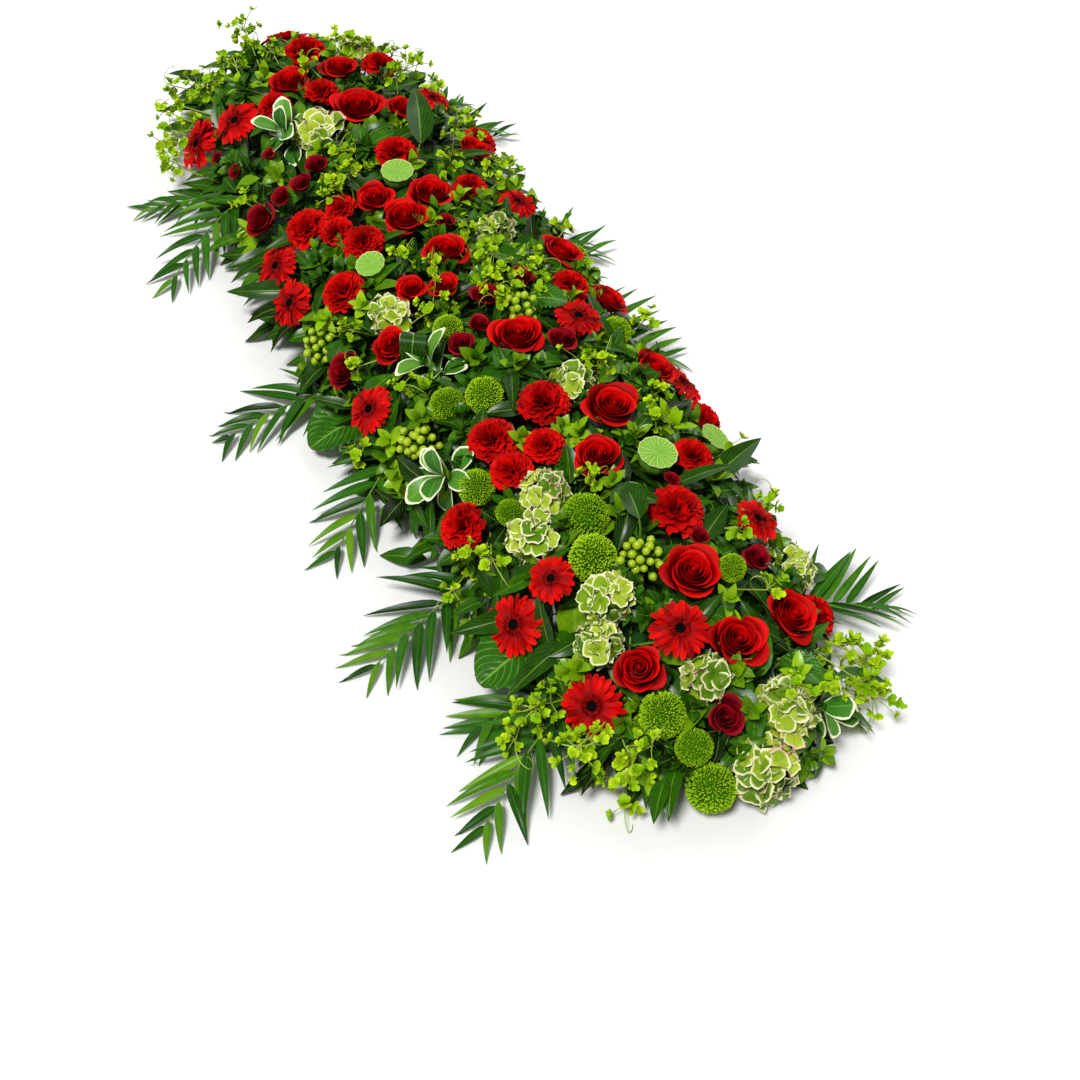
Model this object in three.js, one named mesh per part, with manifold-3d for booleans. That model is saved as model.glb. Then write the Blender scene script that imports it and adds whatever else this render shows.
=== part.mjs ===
// Casket spray: a long mound of cut flowers on a low tray, with the crest along X and the tray's underside on z = 0.
// Every stem stands in a block of wet foam. Sizes are in mm, X runs along the spray and +Z is up.
import * as THREE from 'three';
import { mergeVertices } from 'three/addons/utils/BufferGeometryUtils.js';
import Module from 'manifold-3d';

const wasm = await Module();
wasm.setup();

// Driving dimensions
const GAP = 0.35;
const MOUND = { halfLength: 915, halfWidth: 262, height: 205, endPower: 4, sidePower: 2.2, rim: 0.93, xLimit: 892 };
const LEAN = new THREE.Vector3(0.15, -0.12, 0.35);
const FOAM = { length: 440, width: 150, top: 92, blocks: ['foam_far', 'foam_middle', 'foam_near'] };
const TRAY = { wall: 3, floor: 4, height: 36, corner: 8, divider: 4, rim: 5, rimHeight: 4 };
const BLOCK_STEP = FOAM.length + TRAY.divider + 2 * GAP;
const STEM = { radius: 1.8, sides: 3, bends: [12, 24, 36, 50], turn: -0.1 };
const TRUNK = { radius: 4, sides: 3, depth: 30, reach: 14, search: 135, step: 9 };
const SEED = 11;
const SETTLE = { rounds: 120, clearance: 1.5, step: 0.5 };
const LEAF = { thickness: 2.2, petiole: 1.2, cup: 0.1, rise: 0.3, straight: 0.8,
  shifts: [0, -45, 45, -90, 90] };

const PAINT = {
  tray: { color: 0x1f4d2b, roughness: 0.45, metalness: 0 },
  foam: { color: 0x2f6b3a, roughness: 0.95, metalness: 0 },
  red: { color: 0xc80a08, roughness: 0.6, metalness: 0 },
  darkRed: { color: 0x740012, roughness: 0.6, metalness: 0 },
  scarlet: { color: 0xe0180c, roughness: 0.55, metalness: 0 },
  lime: { color: 0x78b014, roughness: 0.85, metalness: 0 },
  cream: { color: 0xc9d67a, roughness: 0.7, metalness: 0 },
  pod: { color: 0x9cc95a, roughness: 0.6, metalness: 0 },
  berry: { color: 0x96b41e, roughness: 0.35, metalness: 0 },
  palm: { color: 0x1e5a22, roughness: 0.5, metalness: 0 },
  twig: { color: 0xb4c81e, roughness: 0.7, metalness: 0 },
  leaf: { color: 0x2a6a22, roughness: 0.5, metalness: 0 },
  edged: { color: 0x8fbb62, roughness: 0.5, metalness: 0 },
};

// Head forms as turned profiles. A ring is [corners, radius, height, wave, lift, turn] in parts of the head's radius:
// at every other corner the wave adds to the radius and the lift to the height, and turn swaps the corners.
const FORMS = {
  rose: {
    foot: -1.0, crown: 0, sink: 0.3, paint: 'red',
    rings: [[5, 0.62, -0.62, 0, 0, 0], [10, 1.0, -0.06, 0.05, 0.06, 0], [10, 0.72, -0.18, 0, 0, 0],
      [10, 0.54, 0.14, 0.07, 0.06, 1]],
  },
  smallRose: {
    foot: -1.3, crown: 0.2, sink: 0.4, paint: 'darkRed',
    rings: [[6, 0.8, -0.5, 0, 0, 0], [6, 0.98, 0.02, 0.08, 0.06, 0], [6, 0.5, -0.06, 0, 0, 0]],
  },
  carnation: {
    foot: -1.1, crown: 0.26, sink: 0.3, paint: 'red',
    rings: [[4, 0.4, -0.62, 0, 0, 0], [8, 0.97, -0.12, 0.07, 0.07, 0], [8, 0.7, -0.02, 0, 0, 0],
      [8, 0.6, 0.3, 0.14, 0.08, 1]],
  },
  gerbera: {
    foot: -0.3, crown: 0.1, sink: 0.02, paint: 'scarlet',
    rings: [[20, 0.79, 0.02, 0.25, -0.02, 0], [5, 0.28, 0.06, 0, 0, 0]],
  },
  ball: {
    foot: -1.5, crown: 0.4, sink: 0.6, paint: 'lime',
    rings: [
      [5, 0.66, -1.25, 0, 0, 0],
      [8, 0.96, -0.75, 0.1, 0, 1],
      [8, 0.92, -0.2, 0.1, 0, 0],
      [8, 0.48, 0.2, 0.12, 0, 1],
    ],
  },
  hydrangea: {
    foot: -1.3, crown: 0.12, sink: 0.4, paint: 'cream',
    rings: [[5, 0.6, -0.95, 0, 0, 0], [8, 0.92, -0.48, 0.16, 0.08, 1], [8, 0.78, -0.02, 0.2, 0.1, 0],
      [8, 0.36, 0.2, 0.16, 0.06, 1]],
  },
  pod: {
    foot: -1.4, crown: 0.1, sink: 0.3, paint: 'pod',
    rings: [[5, 0.74, -0.85, 0, 0, 0], [10, 0.96, 0.02, 0, 0, 0], [10, 0.8, -0.06, 0, 0.04, 0]],
  },
  berries: { foot: -1.2, crown: 0.1, sink: 0.45, paint: 'berry', rings: [] },
};

// The berries of a bunch, spread evenly over the dome of their core
const BERRY = { count: 6, lowest: -0.15, reach: 0.7, radius: 6, stalk: 1.2, core: 0.42 };

// Planting plan: each bunch has its form and its heads as [x, y, width], in mm, seen from above
const PLAN = {
  roses_far_end: ['rose', [-870, 20, 88], [-600, 20, 66], [-590, -75, 72]],
  roses_far: ['rose', [-460, -5, 88], [-440, 72, 60], [-325, 150, 64]],
  roses_middle_far: ['rose', [-210, -90, 60], [-192, 8, 74], [-158, -57, 74], [-50, -30, 68]],
  roses_middle: ['rose', [5, -112, 48], [22, -68, 46], [73, -171, 60], [166, -10, 78]],
  roses_middle_near: ['rose', [340, 46, 80], [424, -18, 70]],
  roses_near: ['rose', [633, 2, 80], [721, 122, 76], [744, 10, 74], [730, -115, 64]],
  roses_right: ['rose', [-40, 168, 70], [60, 205, 62], [250, 175, 70]],
  spray_roses_far: ['smallRose', [-333, -222, 60], [-330, -185, 38], [-345, -125, 42], [-328, -156, 38],
    [-470, -215, 28], [-436, -169, 24], [-546, -222, 24]],
  spray_roses_middle: ['smallRose', [140, -95, 44], [124, -54, 36], [70, -17, 48], [-114, -1, 32],
    [191, 39, 46], [45, 50, 44], [42, -232, 62]],
  spray_roses_near: ['smallRose', [817, -51, 54], [637, 112, 44], [588, 45, 30], [497, 56, 26]],
  gerberas_far: ['gerbera', [-632, -222, 88], [-562, -172, 80]],
  gerberas_middle: ['gerbera', [-222, -233, 70], [-142, -240, 74], [142, -228, 70]],
  gerberas_near: ['gerbera', [579, -209, 76], [565, -150, 60], [729, -172, 76], [715, -46, 74]],
  gerberas_right_far: ['gerbera', [-480, 140, 62], [-154, 142, 62]],
  gerberas_right_near: ['gerbera', [153, 90, 70], [250, 228, 68], [572, 150, 64]],
  carnations_far: ['carnation', [-700, -5, 72], [-534, -40, 54], [-549, -124, 54]],
  carnations_middle_far: ['carnation', [-305, -2, 66], [-228, -167, 70], [-220, -128, 46], [-173, -143, 48],
    [-137, -139, 62], [-80, -179, 64]],
  carnations_middle: ['carnation', [301, -40, 68], [327, -131, 64], [392, -131, 56], [377, -85, 54],
    [408, -210, 64]],
  carnations_near: ['carnation', [541, 39, 72], [451, 111, 58], [690, 205, 58]],
  carnations_right_far: ['carnation', [-196, 80, 54], [-390, 195, 58], [-620, 105, 60]],
  carnations_right_near: ['carnation', [330, 222, 60], [60, 130, 56]],
  green_balls_middle: ['ball', [241, -109, 54], [225, -150, 50], [104, -96, 44], [379, -161, 50]],
  green_balls_near: ['ball', [501, -96, 64], [567, -93, 64], [441, -159, 38]],
  green_balls_near_end: ['ball', [777, -108, 60], [863, -100, 64], [840, -84, 48], [644, 68, 38]],
  green_balls_right: ['ball', [160, 160, 48], [-80, 225, 50]],
  hydrangeas_far: ['hydrangea', [-432, -81, 78], [-700, 100, 64]],
  hydrangeas_middle: ['hydrangea', [-82, 71, 52], [20, -150, 54], [284, 20, 52]],
  hydrangeas_near: ['hydrangea', [435, -110, 62], [493, -141, 64], [629, -114, 62], [665, -127, 58]],
  hydrangeas_near_end: ['hydrangea', [778, -40, 56], [844, 40, 80], [878, -23, 78], [620, 205, 60]],
  seed_pods_far: ['pod', [-266, -17, 52], [-109, -142, 46]],
  seed_pods_near: ['pod', [447, 67, 56], [400, 190, 48]],
  berries_middle: ['berries', [-46, -243, 58], [98, 22, 54], [241, -207, 58]],
  berries_near: ['berries', [591, -46, 56]],
};

// Palm fronds share a root. Each frond is [bend x, bend y, tip x, tip y, leaflet length].
const FRONDS = {
  palm_fronds_left_far: { root: [-500, -1], fronds: [[-522, -225, -548, -340, 70], [-478, -230, -350, -366, 84]] },
  palm_fronds_left_middle: { root: [80, -1], fronds: [[-30, -235, 28, -404, 88], [192, -215, 300, -345, 88]] },
  palm_frond_left_inner: { root: [425, -1], fronds: [[440, -240, 508, -372, 92]] },
  palm_fronds_left_near: { root: [655, -1], fronds: [[640, -190, 652, -290, 84], [706, -240, 792, -345, 88]] },
  palm_fronds_right_far: { root: [-590, 1], fronds: [[-590, 190, -560, 318, 70], [-640, 180, -668, 292, 60]] },
  palm_fronds_right_middle: { root: [-105, 1], fronds: [[-250, 200, -185, 312, 84], [50, 200, 96, 302, 84]] },
  palm_frond_right_near: { root: [640, 1], fronds: [[632, 215, 676, 322, 92]] },
};
const FROND = { pairs: 7, rootHeight: 50, start: 0.3, bendHeight: 32, over: 28, tipHeight: 8, rib: 2.4,
  sweep: 0.75, droop: 0.16, thickness: 3 };

// Twig sprays share a root. Each twig ends at [x, y, z], with its clusters round that point.
const TWIGS = {
  twigs_far_left: { root: [-640, -1], tips: [[-905, -70, 140], [-800, -215, 80], [-690, -300, 60]] },
  twigs_far_right: { root: [-640, 1], tips: [[-830, 120, 120], [-690, 235, 110], [-540, 225, 130]] },
  twigs_right: { root: [-350, 1], tips: [[-370, 215, 130], [-250, 95, 222], [-330, -90, 212]] },
  twigs_crest_far: { root: [-30, 0], tips: [[-90, 55, 232], [-20, 15, 236], [60, -115, 216]] },
  twigs_crest_near: { root: [255, 0], tips: [[245, 85, 224], [330, 135, 190], [395, -70, 222]] },
  twigs_near_left: { root: [600, -1], tips: [[440, -236, 60], [735, -262, 60], [805, -285, 90], [878, -205, 70]] },
  twigs_near_right: { root: [650, 1], tips: [[800, 150, 95], [805, 245, 70], [872, 225, 60]] },
};
const TWIG = { radius: 1.3, side: 3, clusters: 1, corners: 6, cluster: 12, notch: 0.45, spread: 24, thickness: 2.4,
  tries: 300, wander: 30 };

// Sprigs of cream-edged leaves: a root and the middle of the sprig
const SPRIGS = {
  edged_sprig_far: { root: [-480, -1], tips: [[-480, -140, 176]] },
  edged_sprigs_middle: { root: [240, -1], tips: [[345, -212, 128], [125, -150, 176]] },
  edged_sprig_near_end: { root: [640, 1], tips: [[850, 125, 70]] },
};
const SPRIG = { leaves: 4, length: 62, width: 24, opening: 0.55, spread: 30, radius: 2, wander: 40, tries: 200 };

// Leafy branches lie along the foam's upper edges: [x of the middle, side]
const BRANCHES = {
  leafy_branch_left_far: [-452, -1],
  leafy_branch_left_middle: [0, -1],
  leafy_branch_left_near: [452, -1],
  leafy_branch_right_far: [-452, 1],
  leafy_branch_right_middle: [0, 1],
  leafy_branch_right_near: [452, 1],
};
const BRANCH = { half: 205, radius: 2.2, outside: 13, above: 5, leaves: 7, tries: 3000, length: 66, width: 30 };

// Broad and strap-shaped leaves of the branches: [x, y, z of the middle, length, width, heading in degrees]
const BROAD = {
  leafy_branch_left_far: [[-250, -225, 90, 80, 20, -120]],
  leafy_branch_left_middle: [[95, -259, 34, 96, 84, -80], [109, -153, 171, 56, 18, 30]],
  leafy_branch_left_near: [[605, -225, 66, 104, 88, -75]],
  leafy_branch_right_far: [[-348, 41, 203, 66, 26, 100], [-293, 133, 179, 72, 20, 80]],
  leafy_branch_right_middle: [[107, 64, 202, 56, 48, 60]],
  leafy_branch_right_near: [[493, 111, 182, 96, 20, 90], [516, -5, 200, 66, 30, 60], [790, 95, 110, 60, 46, 20]],
};
const BROAD_TRIES = 900;

const UP = new THREE.Vector3(0, 0, 1);

function vec(x, y, z) {
  return new THREE.Vector3(x, y, z);
}

function seeded(seed) {
  let state = seed;
  return () => {
    state = (state * 1664525 + 1013904223) % 4294967296;
    return state / 4294967296;
  };
}

// The mound is the surface (z/height)^2 + |x/halfLength|^4 + |y/halfWidth|^2.2 = 1
function moundHeight(x, y) {
  const across = Math.abs(y / MOUND.halfWidth) ** MOUND.sidePower;
  const along = Math.abs(x / MOUND.halfLength) ** MOUND.endPower;
  return MOUND.height * Math.sqrt(Math.max(1 - along - across, 0));
}

function moundFacing(x, y) {
  const along = MOUND.endPower * Math.abs(x / MOUND.halfLength) ** (MOUND.endPower - 1);
  const across = MOUND.sidePower * Math.abs(y / MOUND.halfWidth) ** (MOUND.sidePower - 1);
  const outward = vec(
    Math.sign(x) * along / MOUND.halfLength,
    Math.sign(y) * across / MOUND.halfWidth,
    2 * moundHeight(x, y) / MOUND.height ** 2,
  );
  return outward.normalize().add(LEAN).normalize();
}

function onMound(x, y) {
  return vec(x, y, moundHeight(x, y));
}

// Solids are joined and cut from closed three.js geometries
function solidOf(geometry) {
  const bare = geometry.clone();
  bare.deleteAttribute('normal');
  bare.deleteAttribute('uv');
  const merged = mergeVertices(bare, 1e-4);
  const vertProperties = new Float32Array(merged.attributes.position.array);
  const triVerts = new Uint32Array(merged.index.array);
  return new wasm.Manifold(new wasm.Mesh({ numProp: 3, vertProperties, triVerts }));
}

function geometryOf(solid) {
  const mesh = solid.getMesh();
  const geometry = new THREE.BufferGeometry();
  const points = [];
  for (let i = 0; i < mesh.numVert; i += 1) {
    points.push(...mesh.vertProperties.slice(i * mesh.numProp, i * mesh.numProp + 3));
  }
  geometry.setAttribute('position', new THREE.Float32BufferAttribute(points, 3));
  geometry.setIndex([...mesh.triVerts]);
  geometry.computeVertexNormals();
  return geometry;
}

function surface(points, faces) {
  const geometry = new THREE.BufferGeometry();
  geometry.setAttribute('position', new THREE.Float32BufferAttribute(points.flatMap((p) => [p.x, p.y, p.z]), 3));
  geometry.setIndex(faces.flat());
  return geometry;
}

function join(solids) {
  return solids.reduce((whole, next) => whole.add(next));
}

// A closed skin over a row of sections, whose corners run anticlockwise about the way that the row goes.
// Neighbouring sections may have different numbers of corners, and one corner closes the skin.
function skin(sections) {
  const faces = [];
  let from = 0;
  sections.slice(1).forEach((upper, k) => {
    const n = sections[k].length;
    const m = upper.length;
    const to = from + n;
    let i = 0;
    let j = 0;
    while (i < n || j < m) {
      const lowerTurn = n > 1 && i < n && (m === 1 || j >= m || (i + 1) / n <= (j + 1) / m);
      if (lowerTurn) {
        faces.push([from + i % n, from + (i + 1) % n, to + j % m]);
        i += 1;
      } else if (m > 1 && j < m) {
        faces.push([from + i % n, to + (j + 1) % m, to + j % m]);
        j += 1;
      } else {
        break;
      }
    }
    from = to;
  });
  const capStart = sections[0].map((_, i) => i);
  const last = sections[sections.length - 1];
  for (let i = 1; i + 1 < capStart.length; i += 1) {
    faces.push([0, i + 1, i]);
  }
  for (let i = 1; i + 1 < last.length; i += 1) {
    faces.push([from, from + i, from + i + 1]);
  }
  return solidOf(surface(sections.flat(), faces));
}

// A frame whose third axis is the facing direction
function frameFor(facing, spin = 0) {
  const side = vec(0, 0, 1).cross(facing);
  if (side.length() < 0.05) {
    side.set(1, 0, 0);
  }
  side.normalize().applyAxisAngle(facing, spin);
  const third = facing.clone().cross(side);
  return new THREE.Matrix4().makeBasis(side, third, facing);
}

// A ring of corners round a centre: reach and height are numbers or functions of the corner
function ring(centre, frame, sides, reach, height = () => 0) {
  return Array.from({ length: sides }, (_, i) => {
    const turn = 2 * Math.PI * i / sides;
    const corner = vec(Math.cos(turn) * reach(i), Math.sin(turn) * reach(i), height(i));
    return corner.applyMatrix4(frame).add(centre);
  });
}

// The sections of a stem turn with its route without a twist, back from the last one, which lies across the axis
// and has its first corner on the given side
function stemSections(route, radius, sides, axis, side) {
  const last = route.length - 1;
  const normal = axis.clone();
  const corner = side.clone().addScaledVector(axis, -side.dot(axis)).normalize();
  const rows = [];
  for (let i = last; i >= 0; i -= 1) {
    const along = i === last ? axis : route[i + 1].clone().sub(route[Math.max(i - 1, 0)]).normalize();
    corner.applyQuaternion(new THREE.Quaternion().setFromUnitVectors(normal, along));
    normal.copy(along);
    const frame = new THREE.Matrix4().makeBasis(corner, along.clone().cross(corner), along);
    rows.unshift(ring(route[i], frame, sides, () => radius));
  }
  return rows;
}

function stemSolid(route, radius, sides) {
  const along = route[route.length - 1].clone().sub(route[route.length - 2]).normalize();
  const side = new THREE.Vector3().setFromMatrixColumn(frameFor(along), 0);
  return skin(stemSections(route, radius, sides, along, side));
}

// The head grows out of its own stem: the stem's sections widen into the rings of the head
function headSolid(head, route) {
  const form = FORMS[head.form];
  const frame = frameFor(head.facing, head.spin);
  const size = head.radius;
  const rings = form.rings.map(([corners, radius, height, wave, lift, turn]) => {
    const sign = (i) => ((i + turn) % 2 === 0 ? 1 : -1);
    return ring(head.place, frame, corners, (i) => size * (radius + wave * sign(i)),
      (i) => size * (height + lift * sign(i)));
  });
  const crown = head.place.clone().addScaledVector(head.facing, form.crown * size);
  const side = new THREE.Vector3().setFromMatrixColumn(frame, 0);
  const stem = stemSections(route, STEM.radius, STEM.sides, head.facing, side);
  return skin([...stem, ...rings, [crown]]);
}

// Even directions over a dome: equal steps in height and golden-angle turns
function domeDirections(count, lowest) {
  const golden = Math.PI * (3 - Math.sqrt(5));
  return Array.from({ length: count }, (_, i) => {
    const height = 1 - (1 - lowest) * (i + 0.35) / count;
    const out = Math.sqrt(1 - height * height);
    return vec(out * Math.cos(golden * i), out * Math.sin(golden * i), height);
  });
}

// A bunch of berries: each berry widens out of a short stalk that stands on the bunch's core
function berrySolid(head, route) {
  const frame = frameFor(head.facing, head.spin);
  const heart = head.place.clone().addScaledVector(head.facing, -0.75 * head.radius);
  const core = solidOf(new THREE.OctahedronGeometry(BERRY.core * head.radius, 0).translate(...heart.toArray()));
  const berries = domeDirections(BERRY.count, BERRY.lowest).map((direction) => {
    const outward = direction.clone().applyMatrix4(frame);
    const turned = frameFor(outward);
    const at = (reach) => heart.clone().addScaledVector(outward, reach);
    const middle = BERRY.reach * head.radius;
    return skin([
      ring(at(0.12 * head.radius), turned, 3, () => BERRY.stalk),
      ring(at(middle), turned, 5, () => BERRY.radius),
      [at(middle + BERRY.radius)],
    ]);
  });
  const stem = stemSolid([...route.slice(0, -1), heart], STEM.radius, STEM.sides);
  return join([core, stem, ...berries]);
}

// Settling pushes heads that crowd each other apart over the mound until they only touch
function settle(heads) {
  for (let round = 0; round < SETTLE.rounds; round += 1) {
    const centres = heads.map((head) => onMound(head.x, head.y)
      .addScaledVector(moundFacing(head.x, head.y), -FORMS[head.form].sink * head.radius));
    const pushes = heads.map(() => new THREE.Vector2());
    for (let i = 0; i < heads.length; i += 1) {
      for (let j = i + 1; j < heads.length; j += 1) {
        const lack = heads[i].radius + heads[j].radius + SETTLE.clearance - centres[i].distanceTo(centres[j]);
        if (lack > 0) {
          const apart = new THREE.Vector2(heads[i].x - heads[j].x, heads[i].y - heads[j].y).normalize();
          pushes[i].addScaledVector(apart, lack * SETTLE.step);
          pushes[j].addScaledVector(apart, -lack * SETTLE.step);
        }
      }
    }
    heads.forEach((head, i) => {
      head.x = THREE.MathUtils.clamp(head.x + pushes[i].x, -MOUND.xLimit, MOUND.xLimit);
      const along = Math.abs(head.x / MOUND.halfLength) ** MOUND.endPower;
      const room = MOUND.halfWidth * Math.max(MOUND.rim - along, 0) ** (1 / MOUND.sidePower);
      head.y = THREE.MathUtils.clamp(head.y + pushes[i].y, -room, room);
    });
  }
  heads.forEach((head) => {
    head.place = onMound(head.x, head.y);
    head.facing = moundFacing(head.x, head.y);
    const form = FORMS[head.form];
    head.foot = head.place.clone().addScaledVector(head.facing, form.foot * head.radius);
  });
}

function headsOf(plan) {
  return Object.entries(plan).flatMap(([bunch, [form, ...rows]]) => rows.map(([x, y, width], i) => (
    { bunch, form, x, y, radius: width / 2, spin: i })));
}

// The least distance between two straight runs
function runDistance(a, b, c, d) {
  const u = b.clone().sub(a);
  const v = d.clone().sub(c);
  const w = a.clone().sub(c);
  const uu = u.dot(u);
  const uv = u.dot(v);
  const vv = v.dot(v);
  const uw = u.dot(w);
  const vw = v.dot(w);
  const bend = uu * vv - uv * uv;
  let s = bend > 1e-6 ? THREE.MathUtils.clamp((uv * vw - vv * uw) / bend, 0, 1) : 0;
  const t = THREE.MathUtils.clamp((uv * s + vw) / vv, 0, 1);
  s = THREE.MathUtils.clamp((uv * t - uw) / uu, 0, 1);
  return a.clone().addScaledVector(u, s).distanceTo(c.clone().addScaledVector(v, t));
}

const FOAM_END = BLOCK_STEP + FOAM.length / 2;
const TRAY_HALF_LENGTH = FOAM_END + GAP + TRAY.wall;
const TRAY_HALF_WIDTH = FOAM.width / 2 + GAP + TRAY.wall;
const CLEAR = 2.6;
const EDGE_END = 0.001;

function inHolder(p) {
  const inFoam = Math.abs(p.x) < FOAM_END + CLEAR && Math.abs(p.y) < FOAM.width / 2 + CLEAR && p.z < FOAM.top + CLEAR;
  const inTray = Math.abs(p.x) < TRAY_HALF_LENGTH + TRAY.rim + CLEAR && p.z < TRAY.height + CLEAR
    && Math.abs(p.y) < TRAY_HALF_WIDTH + TRAY.rim + CLEAR;
  return inFoam || inTray;
}

function inHead(p, head, radius) {
  const form = FORMS[head.form];
  const off = p.clone().sub(head.place);
  const along = off.dot(head.facing);
  if (along > (form.crown + 0.06) * head.radius + radius || along < form.foot * head.radius - radius) {
    return false;
  }
  const across = off.addScaledVector(head.facing, -along).length();
  const slim = head.form !== 'ball' && along < -0.62 * head.radius ? 0.66 : 1.07;
  return across < slim * head.radius + radius;
}

// A run is clear when it passes outside the holder, every other head and every run already laid
function clearRun(a, b, radius, heads, laid, own) {
  const steps = Math.ceil(a.distanceTo(b) / 5);
  for (let i = 0; i <= steps; i += 1) {
    const p = a.clone().lerp(b, i / steps);
    if (inHolder(p) || p.z < radius + 1 || heads.some((head) => head !== own && inHead(p, head, radius + 1))) {
      return false;
    }
  }
  return laid.every((run) => runDistance(a, b, run.a, run.b) > radius + run.radius + 1);
}

// Places where a trunk can enter the foam: through its top, its two long sides and its two ends
function trunkPlaces(x) {
  const places = [];
  const inBlock = Math.abs(((x + BLOCK_STEP * 1.5) % BLOCK_STEP) - BLOCK_STEP / 2) < FOAM.length / 2 - 12;
  if (Math.abs(x) < FOAM_END - 12 && inBlock) {
    [-50, -25, 0, 25, 50].forEach((y) => places.push([vec(x, y, FOAM.top + TRUNK.reach), vec(0, 0, -1)]));
    [-1, 1].forEach((way) => {
      [54, 68, 82].forEach((z) => {
        places.push([vec(x, way * (FOAM.width / 2 + TRUNK.reach), z), vec(0, -way, 0)]);
      });
    });
  }
  return places;
}

function endPlaces() {
  return [-1, 1].flatMap((end) => [-50, -30, -10, 10, 30, 50].flatMap((y) => [54, 70, 84].map((z) => (
    [vec(end * (FOAM_END + TRUNK.reach), y, z), vec(-end, 0, 0)]))));
}

// A route is smooth when none of its turns, and not the last one into the axis, is sharper than the limit
function isSmooth(route, axis) {
  const ways = [...route.slice(1).map((point, i) => point.clone().sub(route[i]).normalize()), axis];
  return ways.slice(1).every((way, i) => way.dot(ways[i]) > STEM.turn);
}

// A stem's route from its hub to the head's foot: straight, or with one bend under the head or beside the hub
function findStem(head, hub, heads, laid) {
  const bends = STEM.bends.map((depth) => head.foot.clone().addScaledVector(head.facing, -depth));
  const level = Math.max(hub.z, FOAM.top + 6) + 4;
  const beside = [-45, -20, 20, 45].map((shift) => vec(hub.x + shift, hub.y, level));
  const routes = [[hub, head.foot], ...[...bends, ...beside].map((bend) => [hub, bend, head.foot])];
  return routes.filter((route) => isSmooth(route, head.facing)).find((route) => route.slice(1).every((point, i) => (
    clearRun(route[i], point, STEM.radius, heads, laid, i + 2 === route.length ? head : null))));
}

// The trunk of a bunch goes where its stems are shortest and clear of all that is laid
function findTrunk(name, owners, heads, laid) {
  const middle = owners.reduce((sum, head) => sum.add(head.foot), vec(0, 0, 0)).divideScalar(owners.length);
  const places = endPlaces();
  for (let shift = -TRUNK.search; shift <= TRUNK.search; shift += TRUNK.step) {
    places.push(...trunkPlaces(middle.x + shift));
  }
  const costOf = (hub) => owners.reduce((sum, head) => sum + head.foot.distanceTo(hub), 0);
  places.sort((p, q) => costOf(p[0]) - costOf(q[0]));
  for (const [hub, inward] of places) {
    const root = hub.clone().addScaledVector(inward, TRUNK.depth + TRUNK.reach);
    const freeRoot = laid.every((run) => runDistance(hub, root, run.a, run.b) > TRUNK.radius + run.radius + 1.5);
    if (freeRoot && heads.every((head) => !inHead(hub, head, TRUNK.radius + 1))) {
      const stems = owners.map((head) => findStem(head, hub, heads, laid));
      if (stems.every((stem) => stem)) {
        return { hub, root, stems };
      }
    }
  }
  throw new Error(`no clear trunk for ${name}`);
}

function trunkSolid(trunk, extra = 0) {
  const tail = trunk.root.clone().sub(trunk.hub).normalize();
  const head = trunk.hub.clone().addScaledVector(tail, -2 - extra);
  return stemSolid([head, trunk.root.clone().addScaledVector(tail, extra)], TRUNK.radius + extra, TRUNK.sides);
}

function boxesMeet(p, q) {
  return [0, 1, 2].every((k) => p.min[k] < q.max[k] + GAP && q.min[k] < p.max[k] + GAP);
}

// A frond is one arched blade whose outline is cut to the rib between its leaflets
function frondSolid(start, bend, tip, leaflet) {
  const curve = new THREE.QuadraticBezierCurve3(start, bend, tip);
  const count = FROND.pairs;
  const points = [];
  const faces = [];
  const put = (point) => {
    point.z = Math.max(point.z, 1.2);
    return points.push(point) - 1;
  };
  const stations = Array.from({ length: count + 1 }, (_, i) => {
    const at = curve.getPoint(i / (count + 0.6));
    const along = curve.getTangent(i / (count + 0.6));
    return { at, along, left: UP.clone().cross(along).normalize() };
  });
  const notch = (i, way) => put(stations[i].at.clone().addScaledVector(stations[i].left, way * FROND.rib));
  const tipOf = (i, way) => {
    const { at, along, left } = stations[i];
    const length = leaflet * (0.5 + 0.5 * Math.sin(Math.PI * (i + 1.2) / (count + 1.6)));
    const point = at.clone().addScaledVector(left, way * length).addScaledVector(along, FROND.sweep * length);
    point.z -= FROND.droop * length;
    return put(point);
  };
  const rows = [1, -1].map((way) => ({
    notches: stations.map((_, i) => notch(i, way)),
    tips: stations.slice(0, count).map((_, i) => tipOf(i, way)),
  }));
  const half = FROND.thickness / 2;
  const ridge = [1, -1].map((face) => Array.from({ length: count }, (_, i) => {
    const middle = stations[i].at.clone().lerp(stations[i + 1].at, 0.5);
    middle.z = Math.max(middle.z, 1.4 + half) + face * half;
    return points.push(middle) - 1;
  }));
  const end = put(curve.getPoint(1));
  const [left, right] = rows;
  [0, 1].forEach((under) => {
    const add = (a, b, c) => faces.push(under ? [c, b, a] : [a, b, c]);
    const rib = ridge[under];
    add(left.notches[0], right.notches[0], rib[0]);
    for (let i = 0; i < count; i += 1) {
      add(left.notches[i], rib[i], left.tips[i]);
      add(rib[i], left.notches[i + 1], left.tips[i]);
      add(rib[i], right.notches[i], right.tips[i]);
      add(right.notches[i + 1], rib[i], right.tips[i]);
      if (i + 1 < count) {
        add(rib[i], rib[i + 1], left.notches[i + 1]);
        add(rib[i + 1], rib[i], right.notches[i + 1]);
      }
    }
    add(rib[count - 1], right.notches[count], end);
    add(rib[count - 1], end, left.notches[count]);
  });
  return solidOf(surface(points, faces));
}

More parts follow.
